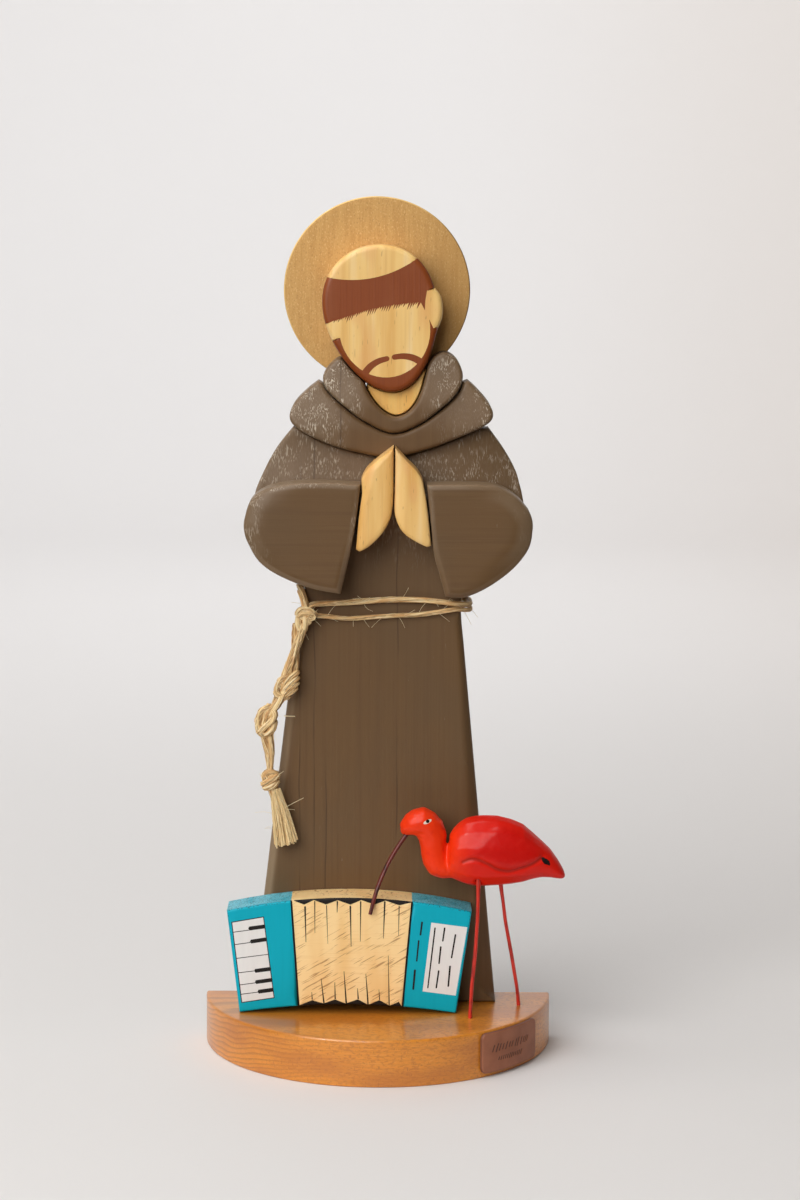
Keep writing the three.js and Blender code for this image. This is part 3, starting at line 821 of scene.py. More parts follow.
def hair_paint():
    coat = Finish("hair_brown", Roughness=0.42, IOR=1.48, Specular_IOR_Level=0.4)
    streaks = coat.clouds((1.5, 1.5, 0.03), 3, 4)
    broad = coat.clouds((0.08, 0.08, 0.05), 2, 9)
    colour = coat.painted(
        (138, 65, 18),
        ((124, 55, 14), streaks.rise(0.4, 0.75) * 0.45),
        ((146, 78, 40), broad.rise(0.45, 0.75) * 0.4),
    )
    return coat.coat(colour, 0.36 + streaks * 0.18, streaks, 0.06)


plank(
    "head_board", "head", "bare_pine", [bare_pine("head_pine", 1), hair_paint()],
    edge=2.2, back_edge=1.0, paint=head_paint(), step=1.3, spacing=0.8,
)


# The halo is a thin round of board behind the head, painted a matt gold with a fine speckle.
# Its rim carries a painted highlight at the upper left, where the light comes from, and painted
# # shade at the lower right, where the face is also painted a little darker.
HALO_MIDDLE = 325.6


def gold_paint():
    gilt = Finish("matt_gold", Roughness=0.5, IOR=1.5, Metallic=0.2, Specular_IOR_Level=0.4)
    speckle = gilt.clouds((2.0, 2.0, 1.1), 1, 2)
    grit = gilt.clouds((0.9, 0.9, 0.08), 3, 5)
    pits = gilt.clouds((1.6, 1.6, 1.0), 1, 9)
    colour = gilt.painted(
        (208, 163, 98),
        ((194, 146, 80), grit.rise(0.38, 0.66) * 0.55),
        ((240, 208, 150), speckle.rise(0.6, 0.72) * 0.45),
        ((156, 110, 56), (1 - speckle).rise(0.6, 0.72) * 0.4),
        ((122, 82, 40), pits.rise(0.7, 0.8) * 0.5),
    )
    # Painted highlight on the rim at the upper left, and painted shade on the rim and face towards the
    # lower right.
    rim = gilt.rim(0.2, 0.6)
    far = (gilt.x * 0.8 - (gilt.z - HALO_MIDDLE) * 0.6).rise(-14, 24)
    colour = gilt.painted(
        colour,
        ((244, 208, 132), rim * (1 - far) * 0.8),
        ((170, 124, 62), far * (1 - rim) * 0.35),
        ((110, 74, 38), rim * far * 0.7),
    )
    return gilt.coat(colour, 0.46 + speckle * 0.16, speckle - pits * 0.4, 0.1)


plank("halo_round", "halo", "gold_wood", [gold_paint()], edge=0.6, step=2.2)


# The sleeves are two thick pieces of pine glued on the robe's front, painted brown like it.
# Their faces are flat, with a facet cut along the lower edge with a plane. Painted highlights
# # lighten that facet and thin lines along the edges, and a painted sheen and glints lie on the outer
# ends.
def sleeve_fall(u, v, depth):
    upper = ease(v, 228, 240) * 0.9 * np.clip(1 - depth / 2.6, 0, 1) ** 2
    lower = (1 - ease(v, 206, 228)) * np.maximum(0, 2.3 - depth) * 0.8
    outer = ease(np.abs(u), 34, 54) * 2.6 * np.clip(1 - depth / 10, 0, 1) ** 2
    return np.maximum(upper + outer, lower)


def on_sleeve_end(coat):
    """Where the painted sheen and glints go: the rounded outer end of a sleeve and the band along its
    top.
    """
    outer = coat.x.sum("ABSOLUTE").rise(42, 54)
    inside = coat.attribute("edge")
    band = outer.most(inside.drop(1.0, 2.6)) * inside.drop(4.0, 8.0)
    return band * coat.z.rise(206, 224)


def sleeve_edge_highlights(facet, inner):
    """Painted highlights: on the facet along the lower edge, a line along the top and one down the right
    inner edge.
    """
    def where(coat):
        inside = coat.attribute("edge")
        lower = inside.drop(1.9, 2.6) * coat.z.drop(212, 226) * facet
        top = inside.drop(0.3, 0.8) * coat.z.rise(234, 242) * 0.35
        return lower.most(top).most(inside.drop(0.1, 0.4) * coat.x.drop(24, 28) * inner)
    return where


for side, glints, facet, inner in (("left", 0.4, 0.45, 0.0), ("right", 0.06, 0.22, 0.4)):
    painted_edge_highlight = sleeve_edge_highlights(facet, inner)
    finish = brown_paint(f"sleeve_{side}_brown", on_sleeve_end, glints, lying=True, painted_edge_highlight=painted_edge_highlight)
    plank(
        f"sleeve_{side}_block", f"sleeve_{side}", "brown_wood", [finish], edge=0.8,
        fall=sleeve_fall, rings=(1.7, 2.5, 4.0, 6.0, 8.0),
    )


# The hands are two slips of bare pine between the sleeves, finger tips together. Each has a wide
# facet cut along its left side. Above the cowl's edge they are notched to lie over it.
TIP_NOTCH, NOTCH_BACK = 255.6, 16.7
RIDGES = {
    "left": [(-8.6, 200), (-6.9, 219.6), (-5.5, 239.7), (-2.3, 252.7), (5.6, 262), (6, 275)],
    "right": [(10.4, 200), (10.2, 226.8), (10.1, 243.5), (9.2, 255.4), (6, 262), (5.6, 275)],
}


def hand_fall(side):
    heights, places = [v for _, v in RIDGES[side]], [u for u, _ in RIDGES[side]]

    def fall(u, v, depth):
        facet = np.maximum(0, np.interp(v, heights, places) - u)
        return facet * (0.42 if side == "left" else 0.3) + np.maximum(0, 1.4 - depth) * 0.4
    return fall


def notch(u, v):
    return np.where(v > TIP_NOTCH, NOTCH_BACK, 1e3)


for side, seed in (("left", 12), ("right", 15)):
    hand_pine = bare_pine(f"hand_{side}_pine", seed, (242, 196, 120), (224, 164, 80))
    plank(
        f"hand_{side}_slip", f"hand_{side}", "bare_pine", [hand_pine], share=0.35, edge=0.7,
        fall=hand_fall(side), back=notch, rings=(1.3, 2.2), step=0.8,
    )


# The belt is sisal twine wound twice round the waist and tied at the left, where its turns lie
# over one another. The twine is three plies of straw fibres, and stray fibres stand out of it.
FRONT, BEHIND = 18.45, 39.05
UPPER_STRAND = [
    (-31.5, 15.4, 192.4), (-29, 16.2, 193.7), (-24, 17.9, 194.3), (-9.9, FRONT, 194.9),
    (4.1, FRONT, 196), (17, FRONT, 195.9), (24, FRONT, 195.3), (33, FRONT, 194.4),
    (37.6, 22, 193.9), (38.2, 29, 193.9), (37, BEHIND - 2, 194), (32, BEHIND, 194.3),
    (10, BEHIND, 196), (-14, BEHIND, 198), (-29, BEHIND, 199), (-33.8, BEHIND - 1.2, 199.6),
    (-34.2, 29, 200.4), (-33.9, 20.6, 201), (-32.9, 17.2, 199.4), (-31.5, 15.4, 195.6),
    (-30.8, 15, 192.4),
]
LOWER_STRAND = [
    (-30.6, 15.4, 189.9), (-27, 16.2, 189.3), (-22, 17.9, 188.6), (-16.2, FRONT, 188),
    (-2.9, FRONT, 188.5), (17.1, FRONT, 189.8), (24, FRONT, 190.7), (33, FRONT, 191.9),
    (37.8, 22, 191.4), (38.4, 29, 191.3), (37.2, BEHIND - 2, 191.3), (32, BEHIND, 191.5),
    (10, BEHIND, 192.8), (-14, BEHIND, 194.8), (-29, BEHIND, 196.4), (-33.8, BEHIND - 1.2, 197.2),
    (-34.2, 29, 198), (-34, 21, 198.6), (-33.2, 17.4, 197.2), (-32.4, 15.8, 194.6),
    (-32, 15.4, 191.8),
]
BELT_KNOT = (-31.2, 15.6, 189)
BELT_KNOT_TURNS = [
    ([(-35, 190.4), (-34, 192.1), (-32, 192.7), (-29.6, 192), (-27.2, 190.1)], 13.9, 1.05),
    ([(-34.6, 188.8), (-33, 190.5), (-30.4, 190.7), (-27.6, 189.2)], 13.6, 1.0),
    ([
        (-29.9, 189.7), (-29, 190.6), (-27.8, 190.3),
        (-27.2, 189.3), (-27.9, 188.2), (-29.4, 188.2),
    ], 12.7, 0.55),
    ([(-34.2, 189), (-34.5, 186.6), (-33.8, 183.6)], 14.4, 1.5),
    ([(-31.2, 189), (-31.4, 186.6), (-32, 183.4)], 14.3, 1.5),
]


def new_bundle():
    return {"points": [], "faces": [], "lay": [], "gap": [], "pale": []}


def spin(
    bundle, line, radius, sides=12, fibres=4, turns=0.05, seed=0, plies=0, pale=0.0,
):
    """Adds a strand to the bundle: a tube along the line with grooves between its fibres, and
    deeper ones between its plies. radius is one number or several along it, turns is how often
    it twists to the millimetre, and pale is how bleached it is."""
    line = np.asarray(line, float)
    draw = random.Random(seed)
    phases = [(draw.uniform(0, 6.3), draw.uniform(0.5, 1), fibres + k) for k in range(3)]
    way = np.gradient(line, axis=0)
    way /= np.linalg.norm(way, axis=1)[:, None]
    along = np.concatenate([[0], np.cumsum(np.linalg.norm(np.diff(line, axis=0), axis=1))])
    sizes = np.interp(
        np.linspace(0, 1, len(line)), np.linspace(0, 1, np.size(radius)), np.atleast_1d(radius)
    )
    side = np.cross(way[0], (0.31, 0.92, 0.23))
    first = len(bundle["points"])
    for i, point in enumerate(line):
        side = side - way[i] * np.dot(side, way[i])
        side = side / np.linalg.norm(side)
        up = np.cross(way[i], side)
        for k in range(sides):
            angle = 2 * math.pi * k / sides
            lay = angle + 2 * math.pi * turns * along[i]
            groove = sum(size * math.cos(number * lay + phase) for phase, size, number in phases)
            gap = 1 - abs(math.cos(plies * lay / 2)) if plies else 0.0
            ply = math.floor(plies * lay / (2 * math.pi) + 0.5) % max(plies, 1)
            reach = sizes[i] * (1 + 0.075 * groove - 0.18 * gap**1.6)
            bundle["points"].append(point + (side * math.cos(angle) + up * math.sin(angle)) * reach)
            start = along[i] * 0.08 + seed * 3.1 + ply * 1.7
            bundle["lay"].append((start, math.cos(lay), math.sin(lay)))
            # The gap value is also how much painted shade darkens the twine here, in the gaps and
            # grooves.
            bundle["gap"].append(max(gap, min(1, -groove * 0.6)))
            bundle["pale"].append(pale)
    rows = len(line)
    for i in range(rows - 1):
        here, there = first + i * sides, first + (i + 1) * sides
        for k in range(sides):
            n = (k + 1) % sides
            bundle["faces"].append((here + k, here + n, there + n, there + k))
    bundle["faces"].append(tuple(first + k for k in reversed(range(sides))))
    bundle["faces"].append(tuple(first + (rows - 1) * sides + k for k in range(sides)))
    return bundle


def spun(name, bundle, finish):
    """The bundle as a piece."""
    points, faces = bundle["points"], bundle["faces"]
    mesh = meshed(name, points, faces, gap=bundle["gap"], pale=bundle["pale"])
    lay = mesh.attributes.new("lay", "FLOAT_VECTOR", "POINT")
    lay.data.foreach_set("vector", np.array(bundle["lay"]).ravel())
    return shown(name, mesh, [finish], 60)


def sisal(name, light, shadow, dark):
    """Sisal: pale straw fibres, glossy along their length, with painted shade darkening the gaps between
    them.
    """
    fibre = Finish(name, Roughness=0.5, IOR=1.45)
    lay = fibre.attribute("lay", "Vector")
    fine = fibre.clouds((1.2, 4.4, 4.4), 3, 2, lay)
    broad = fibre.clouds((1.4, 0.9, 0.9), 1, 5, lay)
    colour = fibre.painted(
        shadow,
        (light, fine.rise(0.34, 0.56)),
        ((255, 244, 212), fine.rise(0.55, 0.66) * 0.75),
        ((214, 158, 98), broad.rise(0.48, 0.68) * dark),
        # painted shade in the gaps between the plies and the grooves between the fibres
        ((128, 84, 44), fibre.attribute("gap").rise(0.5, 1.0) * dark),
        ((255, 238, 196), fibre.attribute("pale")),
    )
    return fibre.coat(colour, 0.45 + fine * 0.2, fine, 0.35)


def stray_fibres(bundle, line, count, reach, seed, spread=1.0):
    """Loose fibres that spring out of the twine along the line."""
    draw = random.Random(seed)
    line = np.asarray(line, float)
    for i in range(count):
        at = draw.randrange(1, len(line) - 1)
        way = line[at + 1] - line[at - 1]
        way = way / np.linalg.norm(way)
        out = np.array([draw.gauss(0, 1), -abs(draw.gauss(0, 0.7)), draw.gauss(0, 1)])
        out = out - way * np.dot(out, way) * 0.6
        out /= np.linalg.norm(out)
        size = reach * draw.uniform(0.35, 1)
        bend = np.array([draw.gauss(0, 0.35), draw.gauss(0, 0.15), draw.gauss(0, 0.35)])
        start = line[at] + out * spread * 0.8
        way = way * draw.choice((-1, 1)) * draw.uniform(0.2, 1.1)
        path = [start + (way + out + bend * t) * size * t for t in np.linspace(0, 1, 7)]
        spin(bundle, path, (0.09, 0.06), sides=4, fibres=1, seed=seed + i, pale=0.8)


def tied(bundle, centre, wide, tall, deep, lean, radius, seed):
    """An overhand knot pulled tight: the twine crosses itself three times round its middle."""
    turn = math.radians(lean)
    line = []
    for t in np.linspace(math.pi / 6, math.pi * 2.23, 74):
        u = (math.sin(t) + 2 * math.sin(2 * t)) / 3 * wide
        v = (math.cos(t) - 2 * math.cos(2 * t)) / 3 * tall
        line.append((
            centre[0] + u * math.cos(turn) - v * math.sin(turn),
            centre[1] + math.sin(3 * t) * deep,
            centre[2] + u * math.sin(turn) + v * math.cos(turn),
        ))
    spin(bundle, line, radius, sides=24, fibres=7, turns=0.03, seed=seed, plies=3)
    middle = np.array(centre)
    up = np.array((-math.sin(turn), 0, math.cos(turn))) * tall * 0.7
    heart = [middle - up, middle - up * 0.5, middle, middle + up * 0.5, middle + up]
    spin(bundle, heart, (radius, wide * 0.8, radius), seed=seed + 1)


def laid(bundle, turns, seed):
    """The turns of a knot that show in front, with their ends tucked away behind. Each turn is
    its places across and up, how far to the front it lies, and the twine's radius."""
    for number, (places, front, radius) in enumerate(turns):
        (first_x, first_z), (last_x, last_z) = places[0], places[-1]
        line = [(first_x, front + 2.8, first_z)]
        for k, (x, z) in enumerate(places):
            line.append((x, front + 0.9 * (k in (0, len(places) - 1)), z))
        line.append((last_x, front + 2.8, last_z))
        smooth = run_smooth(line, 0.55, corner=100)
        spin(bundle, smooth, radius, sides=20, fibres=6, turns=0.02, seed=seed + number, plies=3)


straw = sisal("sisal_straw", (252, 220, 160), (186, 136, 82), 0.7)
belt_bundle = new_bundle()
for number, (strand, size) in enumerate(((UPPER_STRAND, 1.25), (LOWER_STRAND, 1.0))):
    belt_line = run_smooth(strand, 1.0, corner=70)
    spin(belt_bundle, belt_line, size, sides=20, fibres=6, turns=0.012, seed=number + 1, plies=3)
    stray_fibres(belt_bundle, belt_line[:76], 13, 6.5, 31 + number)
fit(spun("belt_strands", belt_bundle, straw), "sisal_twine", "belt_rope")

knot_bundle = new_bundle()
tied(knot_bundle, BELT_KNOT, 2.6, 2.7, 1.0, 15, 1.2, 8)
laid(knot_bundle, BELT_KNOT_TURNS, 11)
knot_line = run_smooth([(-32, 15, 192), BELT_KNOT, (-31, 15, 186)], 0.8)
stray_fibres(knot_bundle, knot_line, 8, 6.5, 77, 2.4)
knot_straw = sisal("sisal_knot", (255, 230, 174), (214, 166, 108), 0.45)
fit(spun("belt_knot_turns", knot_bundle, knot_straw), "sisal_twine", "belt_knot")


# The tail is the twine's free end, doubled: two strands that hang loosely twisted from the belt
# knot, with three knots on the way and the fibres combed out below the last one.
TAIL_LINE = [
    (-33.4, 15.6, 185.8), (-34.4, 15.4, 181.6), (-35.4, 15.2, 176), (-37.2, 15, 167.5),
    (-40, 14.8, 159.5), (-43.6, 14.9, 151.6), (-48, 15.2, 144), (-47.6, 15.4, 137),
    (-46.6, 15.5, 130), (-46, 15.4, 118.6), (-44.4, 15.3, 112), (-42, 15.2, 102),
    (-39.9, 15.2, 93),
]
TAIL_WIDE, TAIL_TWIST = 5.8, 0.116
tail_path = run_smooth(TAIL_LINE, 3.4, corner=70)
tail_line = run_smooth(TAIL_LINE, 0.8, corner=70)
tail_bundle = new_bundle()
tail_run = np.concatenate([[0], np.cumsum(np.linalg.norm(np.diff(tail_line, axis=0), axis=1))])
for number, turn in enumerate((0.0, math.pi)):
    strand = []
    for point, run in zip(tail_line, tail_run):
        angle = turn + 0.35 + run * TAIL_TWIST
        apart = np.interp(run, (0, 40, 56, 70, 90), (1.62, 1.55, 1.2, 1.15, 0.6))
        strand.append(point + np.array((math.cos(angle), -math.sin(angle) * 0.8, 0)) * apart)
    sizes = (1.8, 1.8, 1.75, 1.75, 1.65, 1.5, 1.4, 1.3, 0.9, 0.6)
    spin(tail_bundle, strand, sizes, sides=22, fibres=6, turns=0.014, seed=20 + number, plies=3)
tail = spun("tail_strands", tail_bundle, straw)
fit(tail, "sisal_twine", "rope_tail")

TAIL_KNOTS = [
    ((-40, 14.9, 159.3), (2.8, 3.2, 1.2, -30, 1.7), [
        ([(-34.9, 165.2), (-37.6, 163.4), (-40, 161), (-41.4, 158.6)], 13.1, 1.2),
        ([(-34.8, 162.8), (-37.2, 161.2), (-39.4, 159.2), (-41, 157.2)], 12.9, 1.15),
        ([(-35, 160.6), (-37, 159.2), (-39.2, 157.4), (-40.6, 156)], 13.1, 1.15),
        ([(-35.6, 158.2), (-37.4, 156.8), (-39.4, 155.6)], 13.4, 1.1),
        ([
            (-38.6, 164), (-41.2, 162.2), (-43, 159.4),
            (-43.4, 157.2), (-42, 155.9), (-39.6, 155.4),
        ], 13.6, 1.5),
        ([(-44, 156.2), (-42.8, 154.8), (-40.8, 154.2), (-38.6, 154.8)], 13.7, 1.1),
    ]),
    ((-48, 15.2, 143.2), (3.1, 3.8, 1.2, 18, 1.8), [
        ([
            (-46.8, 150), (-49.4, 148.6), (-50.8, 145.4),
            (-51, 141.6), (-50, 139.4), (-48.2, 138.6),
        ], 13.7, 1.7),
        ([(-46.2, 149.6), (-47.4, 147.2), (-48.6, 144.6), (-49.6, 142)], 13.5, 1.5),
        ([
            (-44.9, 149.2), (-44.2, 147.2), (-45, 145.2),
            (-47.2, 143), (-49.6, 141), (-50.9, 139.6),
        ], 12.7, 1.35),
        ([(-44.4, 143.6), (-45, 141.2), (-47, 139.4), (-49, 138.6)], 13.4, 1.4),
    ]),
    ((-46.4, 15.4, 119.2), (2.5, 3.1, 1.1, -12, 1.6), [
        ([(-48.8, 120.2), (-47.8, 122), (-45.8, 122.4), (-43.8, 121.2)], 13.8, 1.4),
        ([(-43.4, 120.6), (-44.9, 119.6), (-47, 118.4), (-49, 117.2)], 13.1, 1.4),
        ([(-43.5, 118), (-44.8, 116.7), (-46.8, 115.8), (-48.4, 115.4)], 13.5, 1.3),
    ]),
]
for number, (centre, (wide, tall, deep, lean, radius), turns) in enumerate(TAIL_KNOTS, 1):
    bundle = new_bundle()
    tied(bundle, centre, wide, tall, deep, lean, radius, 40 * number)
    laid(bundle, turns, 40 * number + 5)
    heart = [(centre[0], centre[1], centre[2] + k) for k in (-3.5, 0, 3.5)]
    stray_fibres(bundle, run_smooth(heart, 0.8), 5, 5.5, 91 + 10 * number, 3.2)
    knot = spun(f"tail_knot_{number}", bundle, straw)
    fit(knot, "sisal_twine")

COMBED_FIBRES = 112
TASSEL_TOP, TASSEL_FOOT = (-44.3, 15.4, 115), (-39.4, 15.2, 91.4)
combed = sisal("sisal_combed", (255, 230, 172), (244, 192, 120), 0.3)
tassel_bundle = new_bundle()
comb = random.Random(5)
for i in range(COMBED_FIBRES):
    angle, far = comb.uniform(0, 2 * math.pi), math.sqrt(comb.random())
    out, deep = far * math.cos(angle), far * math.sin(angle)
    start = (TASSEL_TOP[0] + 1.9 * out, TASSEL_TOP[1] + 1.8 * deep, TASSEL_TOP[2])
    end = (
        TASSEL_FOOT[0] + 4.7 * out + comb.uniform(-0.5, 0.5), TASSEL_FOOT[1] + 3.0 * deep,
        TASSEL_FOOT[2] + 1.3 * out + comb.uniform(-1.2, 1.4),
    )
    middle = [(a + b) / 2 + comb.uniform(-0.35, 0.35) for a, b in zip(start, end)]
    middle[0] += 0.3
    thick = comb.uniform(0.3, 0.58)
    line = run_smooth([start, middle, end], 1.6, corner=80)
    spin(tassel_bundle, line, (thick, thick * 0.8), 6, 2, 0.01, 200 + i, pale=comb.uniform(0, 0.2))
stray_fibres(tassel_bundle, run_smooth([(-43, 15, 108), (-41, 15, 97)], 1), 9, 8, 300, 2)
for line in (
    [(-39.6, 13.2, 107.2), (-36.4, 12.4, 109.2), (-31.9, 12, 111.6)],
    [(-42.6, 13.2, 121.5), (-41.6, 13, 122.1), (-40.5, 13, 122.9)],
):
    spin(tassel_bundle, run_smooth(line, 0.8), (0.15, 0.1), 4, 1, 0, 7, pale=0.9)
stub = [(-40.4, 15.6, 146.3), (-38, 16, 146.1), (-35.8, 16.2, 146)]
spin(tassel_bundle, run_smooth(stub, 0.8), (0.26, 0.2), 6, 1, 0, 9, pale=0.9)
tassel = fit(spun("tail_tassel", tassel_bundle, combed), "sisal_twine")
tail_length = float(np.linalg.norm(np.diff(tail_path, axis=0), axis=1).sum()) / 1000


# The accordion is one block of pine, curved along its top and standing on the base against the
# robe. Blue ends, a white keyboard and buttons and the bellows' black pleats are painted on it.
BELLOWS_LEFT, BELLOWS_RIGHT = ((-37.0, 70.6), (-33.4, 20.0)), ((14.5, 70.6), (10.3, 20.0))
KEYBOARD = [(-62.1, 59.7), (-57.9, 24.6), (-44.1, 26.8), (-48.6, 62.1)]
KEY_LINES = [
    ((-61.8, 55.3), (-48.0, 57.3)), ((-61.1, 49.9), (-47.5, 51.9)), ((-60.3, 43.9), (-46.5, 45.8)),
    ((-59.5, 37.6), (-45.6, 39.4)), ((-58.9, 32.3), (-45.0, 34.3)), ((-58.4, 28.2), (-44.6, 30.1)),
]
BLACK_KEYS = [
    ((-54.6, 57.0), (-48.3, 57.9)), ((-53.9, 51.3), (-47.7, 52.3)), ((-52.1, 38.5), (-45.8, 39.4)),
    ((-51.8, 33.6), (-45.2, 34.6)), ((-50.7, 29.4), (-44.8, 30.3)),
]
BUTTON_PANEL = [(22.6, 60.0), (19.1, 29.9), (33.2, 28.1), (37.9, 58.0)]
DASHES = [
    ((24.2, 57.7), (21.3, 31.4), 0.32), ((28.3, 57.7), (27.5, 51.9), 0.36),
    ((26.7, 49.5), (26.0, 42.1), 0.36), ((25.9, 39.0), (24.9, 31.4), 0.36),
    ((32.9, 54.8), (31.3, 44.6), 0.36), ((30.7, 41.0), (30.0, 32.1), 0.4),
    ((18.7, 60.2), (18.0, 54.5), 0.4), ((17.3, 52.1), (16.5, 43.1), 0.36),
    ((15.8, 39.3), (15.1, 30.8), 0.45),
]
TOP_DIPS = [
    (-36.6, 69.4), (-31.4, 67.5), (-27.2, 69.5), (-22.1, 67.6), (-17.2, 69.5), (-11.8, 67.6),
    (-7.2, 69.6), (-1.6, 67.7), (3.1, 69.4), (9.0, 67.4), (14.0, 68.6),
]
FOOT_DIPS = [
    (-33.5, 23.4), (-28.0, 25.8), (-23.0, 24.4), (-18.2, 26.2), (-13.7, 24.4), (-8.4, 26.3),
    (-4.2, 23.7), (0.7, 26.0), (5.2, 23.4), (9.0, 25.3), (10.4, 22.9),
]
PLEATS = [
    ((-31.0, 66.6), (-30.6, 51.3), 0.3), ((-26.9, 69.0), (-26.8, 55.3), 0.2),
    ((-21.9, 67.2), (-21.3, 50.6), 0.16), ((-17.3, 69.0), (-17.4, 64.3), 0.26),
    ((-11.8, 67.0), (-11.4, 49.4), 0.28), ((-7.4, 69.0), (-7.5, 51.7), 0.24),
    ((2.8, 69.0), (2.3, 53.1), 0.3), ((8.9, 67.0), (8.7, 54.2), 0.18),
    ((-27.9, 26.2), (-28.1, 29.3), 0.2), ((-22.9, 24.6), (-24.1, 35.2), 0.26),
    ((-18.1, 26.4), (-18.3, 33.6), 0.24), ((-13.4, 24.6), (-14.4, 38.4), 0.28),
    ((-8.3, 26.5), (-8.6, 31.0), 0.26), ((-4.1, 23.8), (-5.1, 37.4), 0.24),
    ((0.8, 26.2), (0.5, 30.6), 0.18), ((4.9, 23.6), (4.4, 45.4), 0.2),
]


def dash(start, end, half, tip=1.0):
    """One straight painted line, with its half width at the start and a share of it at the tip."""
    start, end = np.array(start), np.array(end)
    way = (end - start) / np.linalg.norm(end - start)
    side, beyond = np.array((-way[1], way[0])) * half, way * half * 0.6
    return [
        start - side, end - side * tip, end + beyond,
        end + side * tip, start + side, start - beyond,
    ]


def on_front(paint, shapes):
    """Shapes painted on the front of the block alone."""
    return [(paint, shape, True, False) for shape in shapes]


def accordion_paint():
    blue, white, black = 1, 2, 3
    (left_top, left_foot), (right_top, right_foot) = BELLOWS_LEFT, BELLOWS_RIGHT
    left = [(-80, 10), (left_foot[0], 10), left_foot, left_top, (-37, 80), (-80, 80)]
    right = [(right_foot[0], 10), (60, 10), (60, 80), (14.5, 80), right_top, right_foot]
    foot = [(-33.6, 15), *FOOT_DIPS, (10.6, 15)]
    round_keys = zip(KEYBOARD, KEYBOARD[1:] + KEYBOARD[:1])
    return [
        (blue, left, True, True), (blue, right, True, True),
        *on_front(black, [[(-37.0, 74), *TOP_DIPS, (14.5, 74)], foot]), (black, foot, False, True),
        *on_front(black, [dash(*ends, 0.36) for ends in (BELLOWS_LEFT, BELLOWS_RIGHT)]),
        *on_front(black, [dash(a, b, half * 1.25, 0.35) for a, b, half in PLEATS]),
        *on_front(white, [KEYBOARD, BUTTON_PANEL]),
        *on_front(black, [dash(a, b, 0.2) for a, b in round_keys]),
        *on_front(black, [dash(a, b, 0.17, 0.9) for a, b in KEY_LINES]),
        *on_front(black, [dash(a, b, 0.85, 1.0) for a, b in BLACK_KEYS]),
        *on_front(black, [dash(a, b, half, 0.9) for a, b, half in DASHES]),
    ]


def block_paint(name, light, shadow, chips=0.0, rough=0.4):
    """One coat of paint on the block, with brush marks and small chips along its edges."""
    coat = Finish(name, Roughness=rough, IOR=1.46, Specular_IOR_Level=0.2)
    brushed = coat.clouds((0.7, 0.7, 0.05), 3, 3)
    specks = coat.clouds(1.6, 2, 7)
    colour = coat.painted(light, (shadow, brushed.rise(0.4, 0.75) * 0.25))
    if chips:
        dust = coat.clouds(0.2, 3, 5).rise(0.2, 0.6)
        dusty = coat.y.rise(2.6, 4.4) * coat.z.rise(40, 50) * dust
        colour = coat.painted(colour, ((122, 198, 214), dusty * 0.8))
        chipped = coat.rim(0.3, 1.0) * specks.rise(0.56, 0.62)
        colour = coat.painted(colour, ((34, 48, 50), chipped * coat.z.rise(50, 56) * chips))
    return coat.coat(colour, rough + specks * 0.12, brushed, 0.05)


SCRATCH_WAY = (0.5, 0.86)


def bellows_pine():
    wood = Finish("bellows_pine", Roughness=0.45, IOR=1.45)
    lean, steep = SCRATCH_WAY
    turned = wood.x * lean + wood.z * -steep
    across = wood.x * steep + wood.z * lean
    place = wood.node("ShaderNodeCombineXYZ", inputs={0: across, 1: wood.y, 2: turned})
    scratch = wood.clouds((0.12, 0.5, 1.8), 1, 4, place).rise(0.61, 0.67)
    where = wood.clouds(0.09, 1, 2).rise(0.38, 0.55)
    bands = wood.clouds((0.1, 0.1, 0.02), 2, 6)
    fibres = wood.clouds((0.06, 1.8, 1.8), 3, 8)
    colour = wood.painted(
        (252, 218, 158),
        ((240, 194, 124), bands.rise(0.4, 0.7) * 0.7),
        ((216, 166, 100), fibres.rise(0.5, 0.8) * 0.3),
        ((160, 102, 50), scratch * where * 0.72),
    )
    return wood.coat(colour, 0.4 + bands * 0.14, fibres, 0.04)


block_finishes = [
    bellows_pine(),
    block_paint("accordion_blue", (0, 168, 190), (0, 156, 178), 0.8),
    block_paint("keyboard_white", (229, 227, 225), (220, 218, 215)),
    block_paint("pleat_black", (30, 26, 24), (40, 36, 33)),
]
plank(
    "accordion_block", "accordion", "painted_block", block_finishes, edge=0.8, back_edge=0.8,
    paint=accordion_paint(), step=2.0,
)


# The ibis is carved from one piece of soft wood with a knife, sanded and painted a glossy red.
# Its folded wings are raised a little, with a groove under each that is painted darker as shade,
# # and eye and tail are touched in.
WING = [
    (36.6, 89.4), (40.5, 95), (45, 99.5), (52, 103.4), (60, 101.6), (66, 97.4), (70.4, 91.6),
    (68.9, 88.9), (65.2, 86.5), (60.1, 84.6), (55.5, 83.3), (50.5, 84.1), (45.8, 86.9),
    (40.7, 88.8),
]
WING_GROOVE = [(35.6, 87.4), (38.5, 88.8), *reversed(WING[-7:])]
THROAT_GROOVE = [(15.4, 98.9), (17.2, 98.3), (19.0, 98.5)]
CROWN, NAPE = (23.6, 106.6), [(27.4, 102.6), (28.8, 97.5)]
EYE, PUPIL, TAIL_PATCH = (20.6, 104.1), (20.7, 104.3), (70.7, 87.3)
CARVED_VOXEL = 0.0006


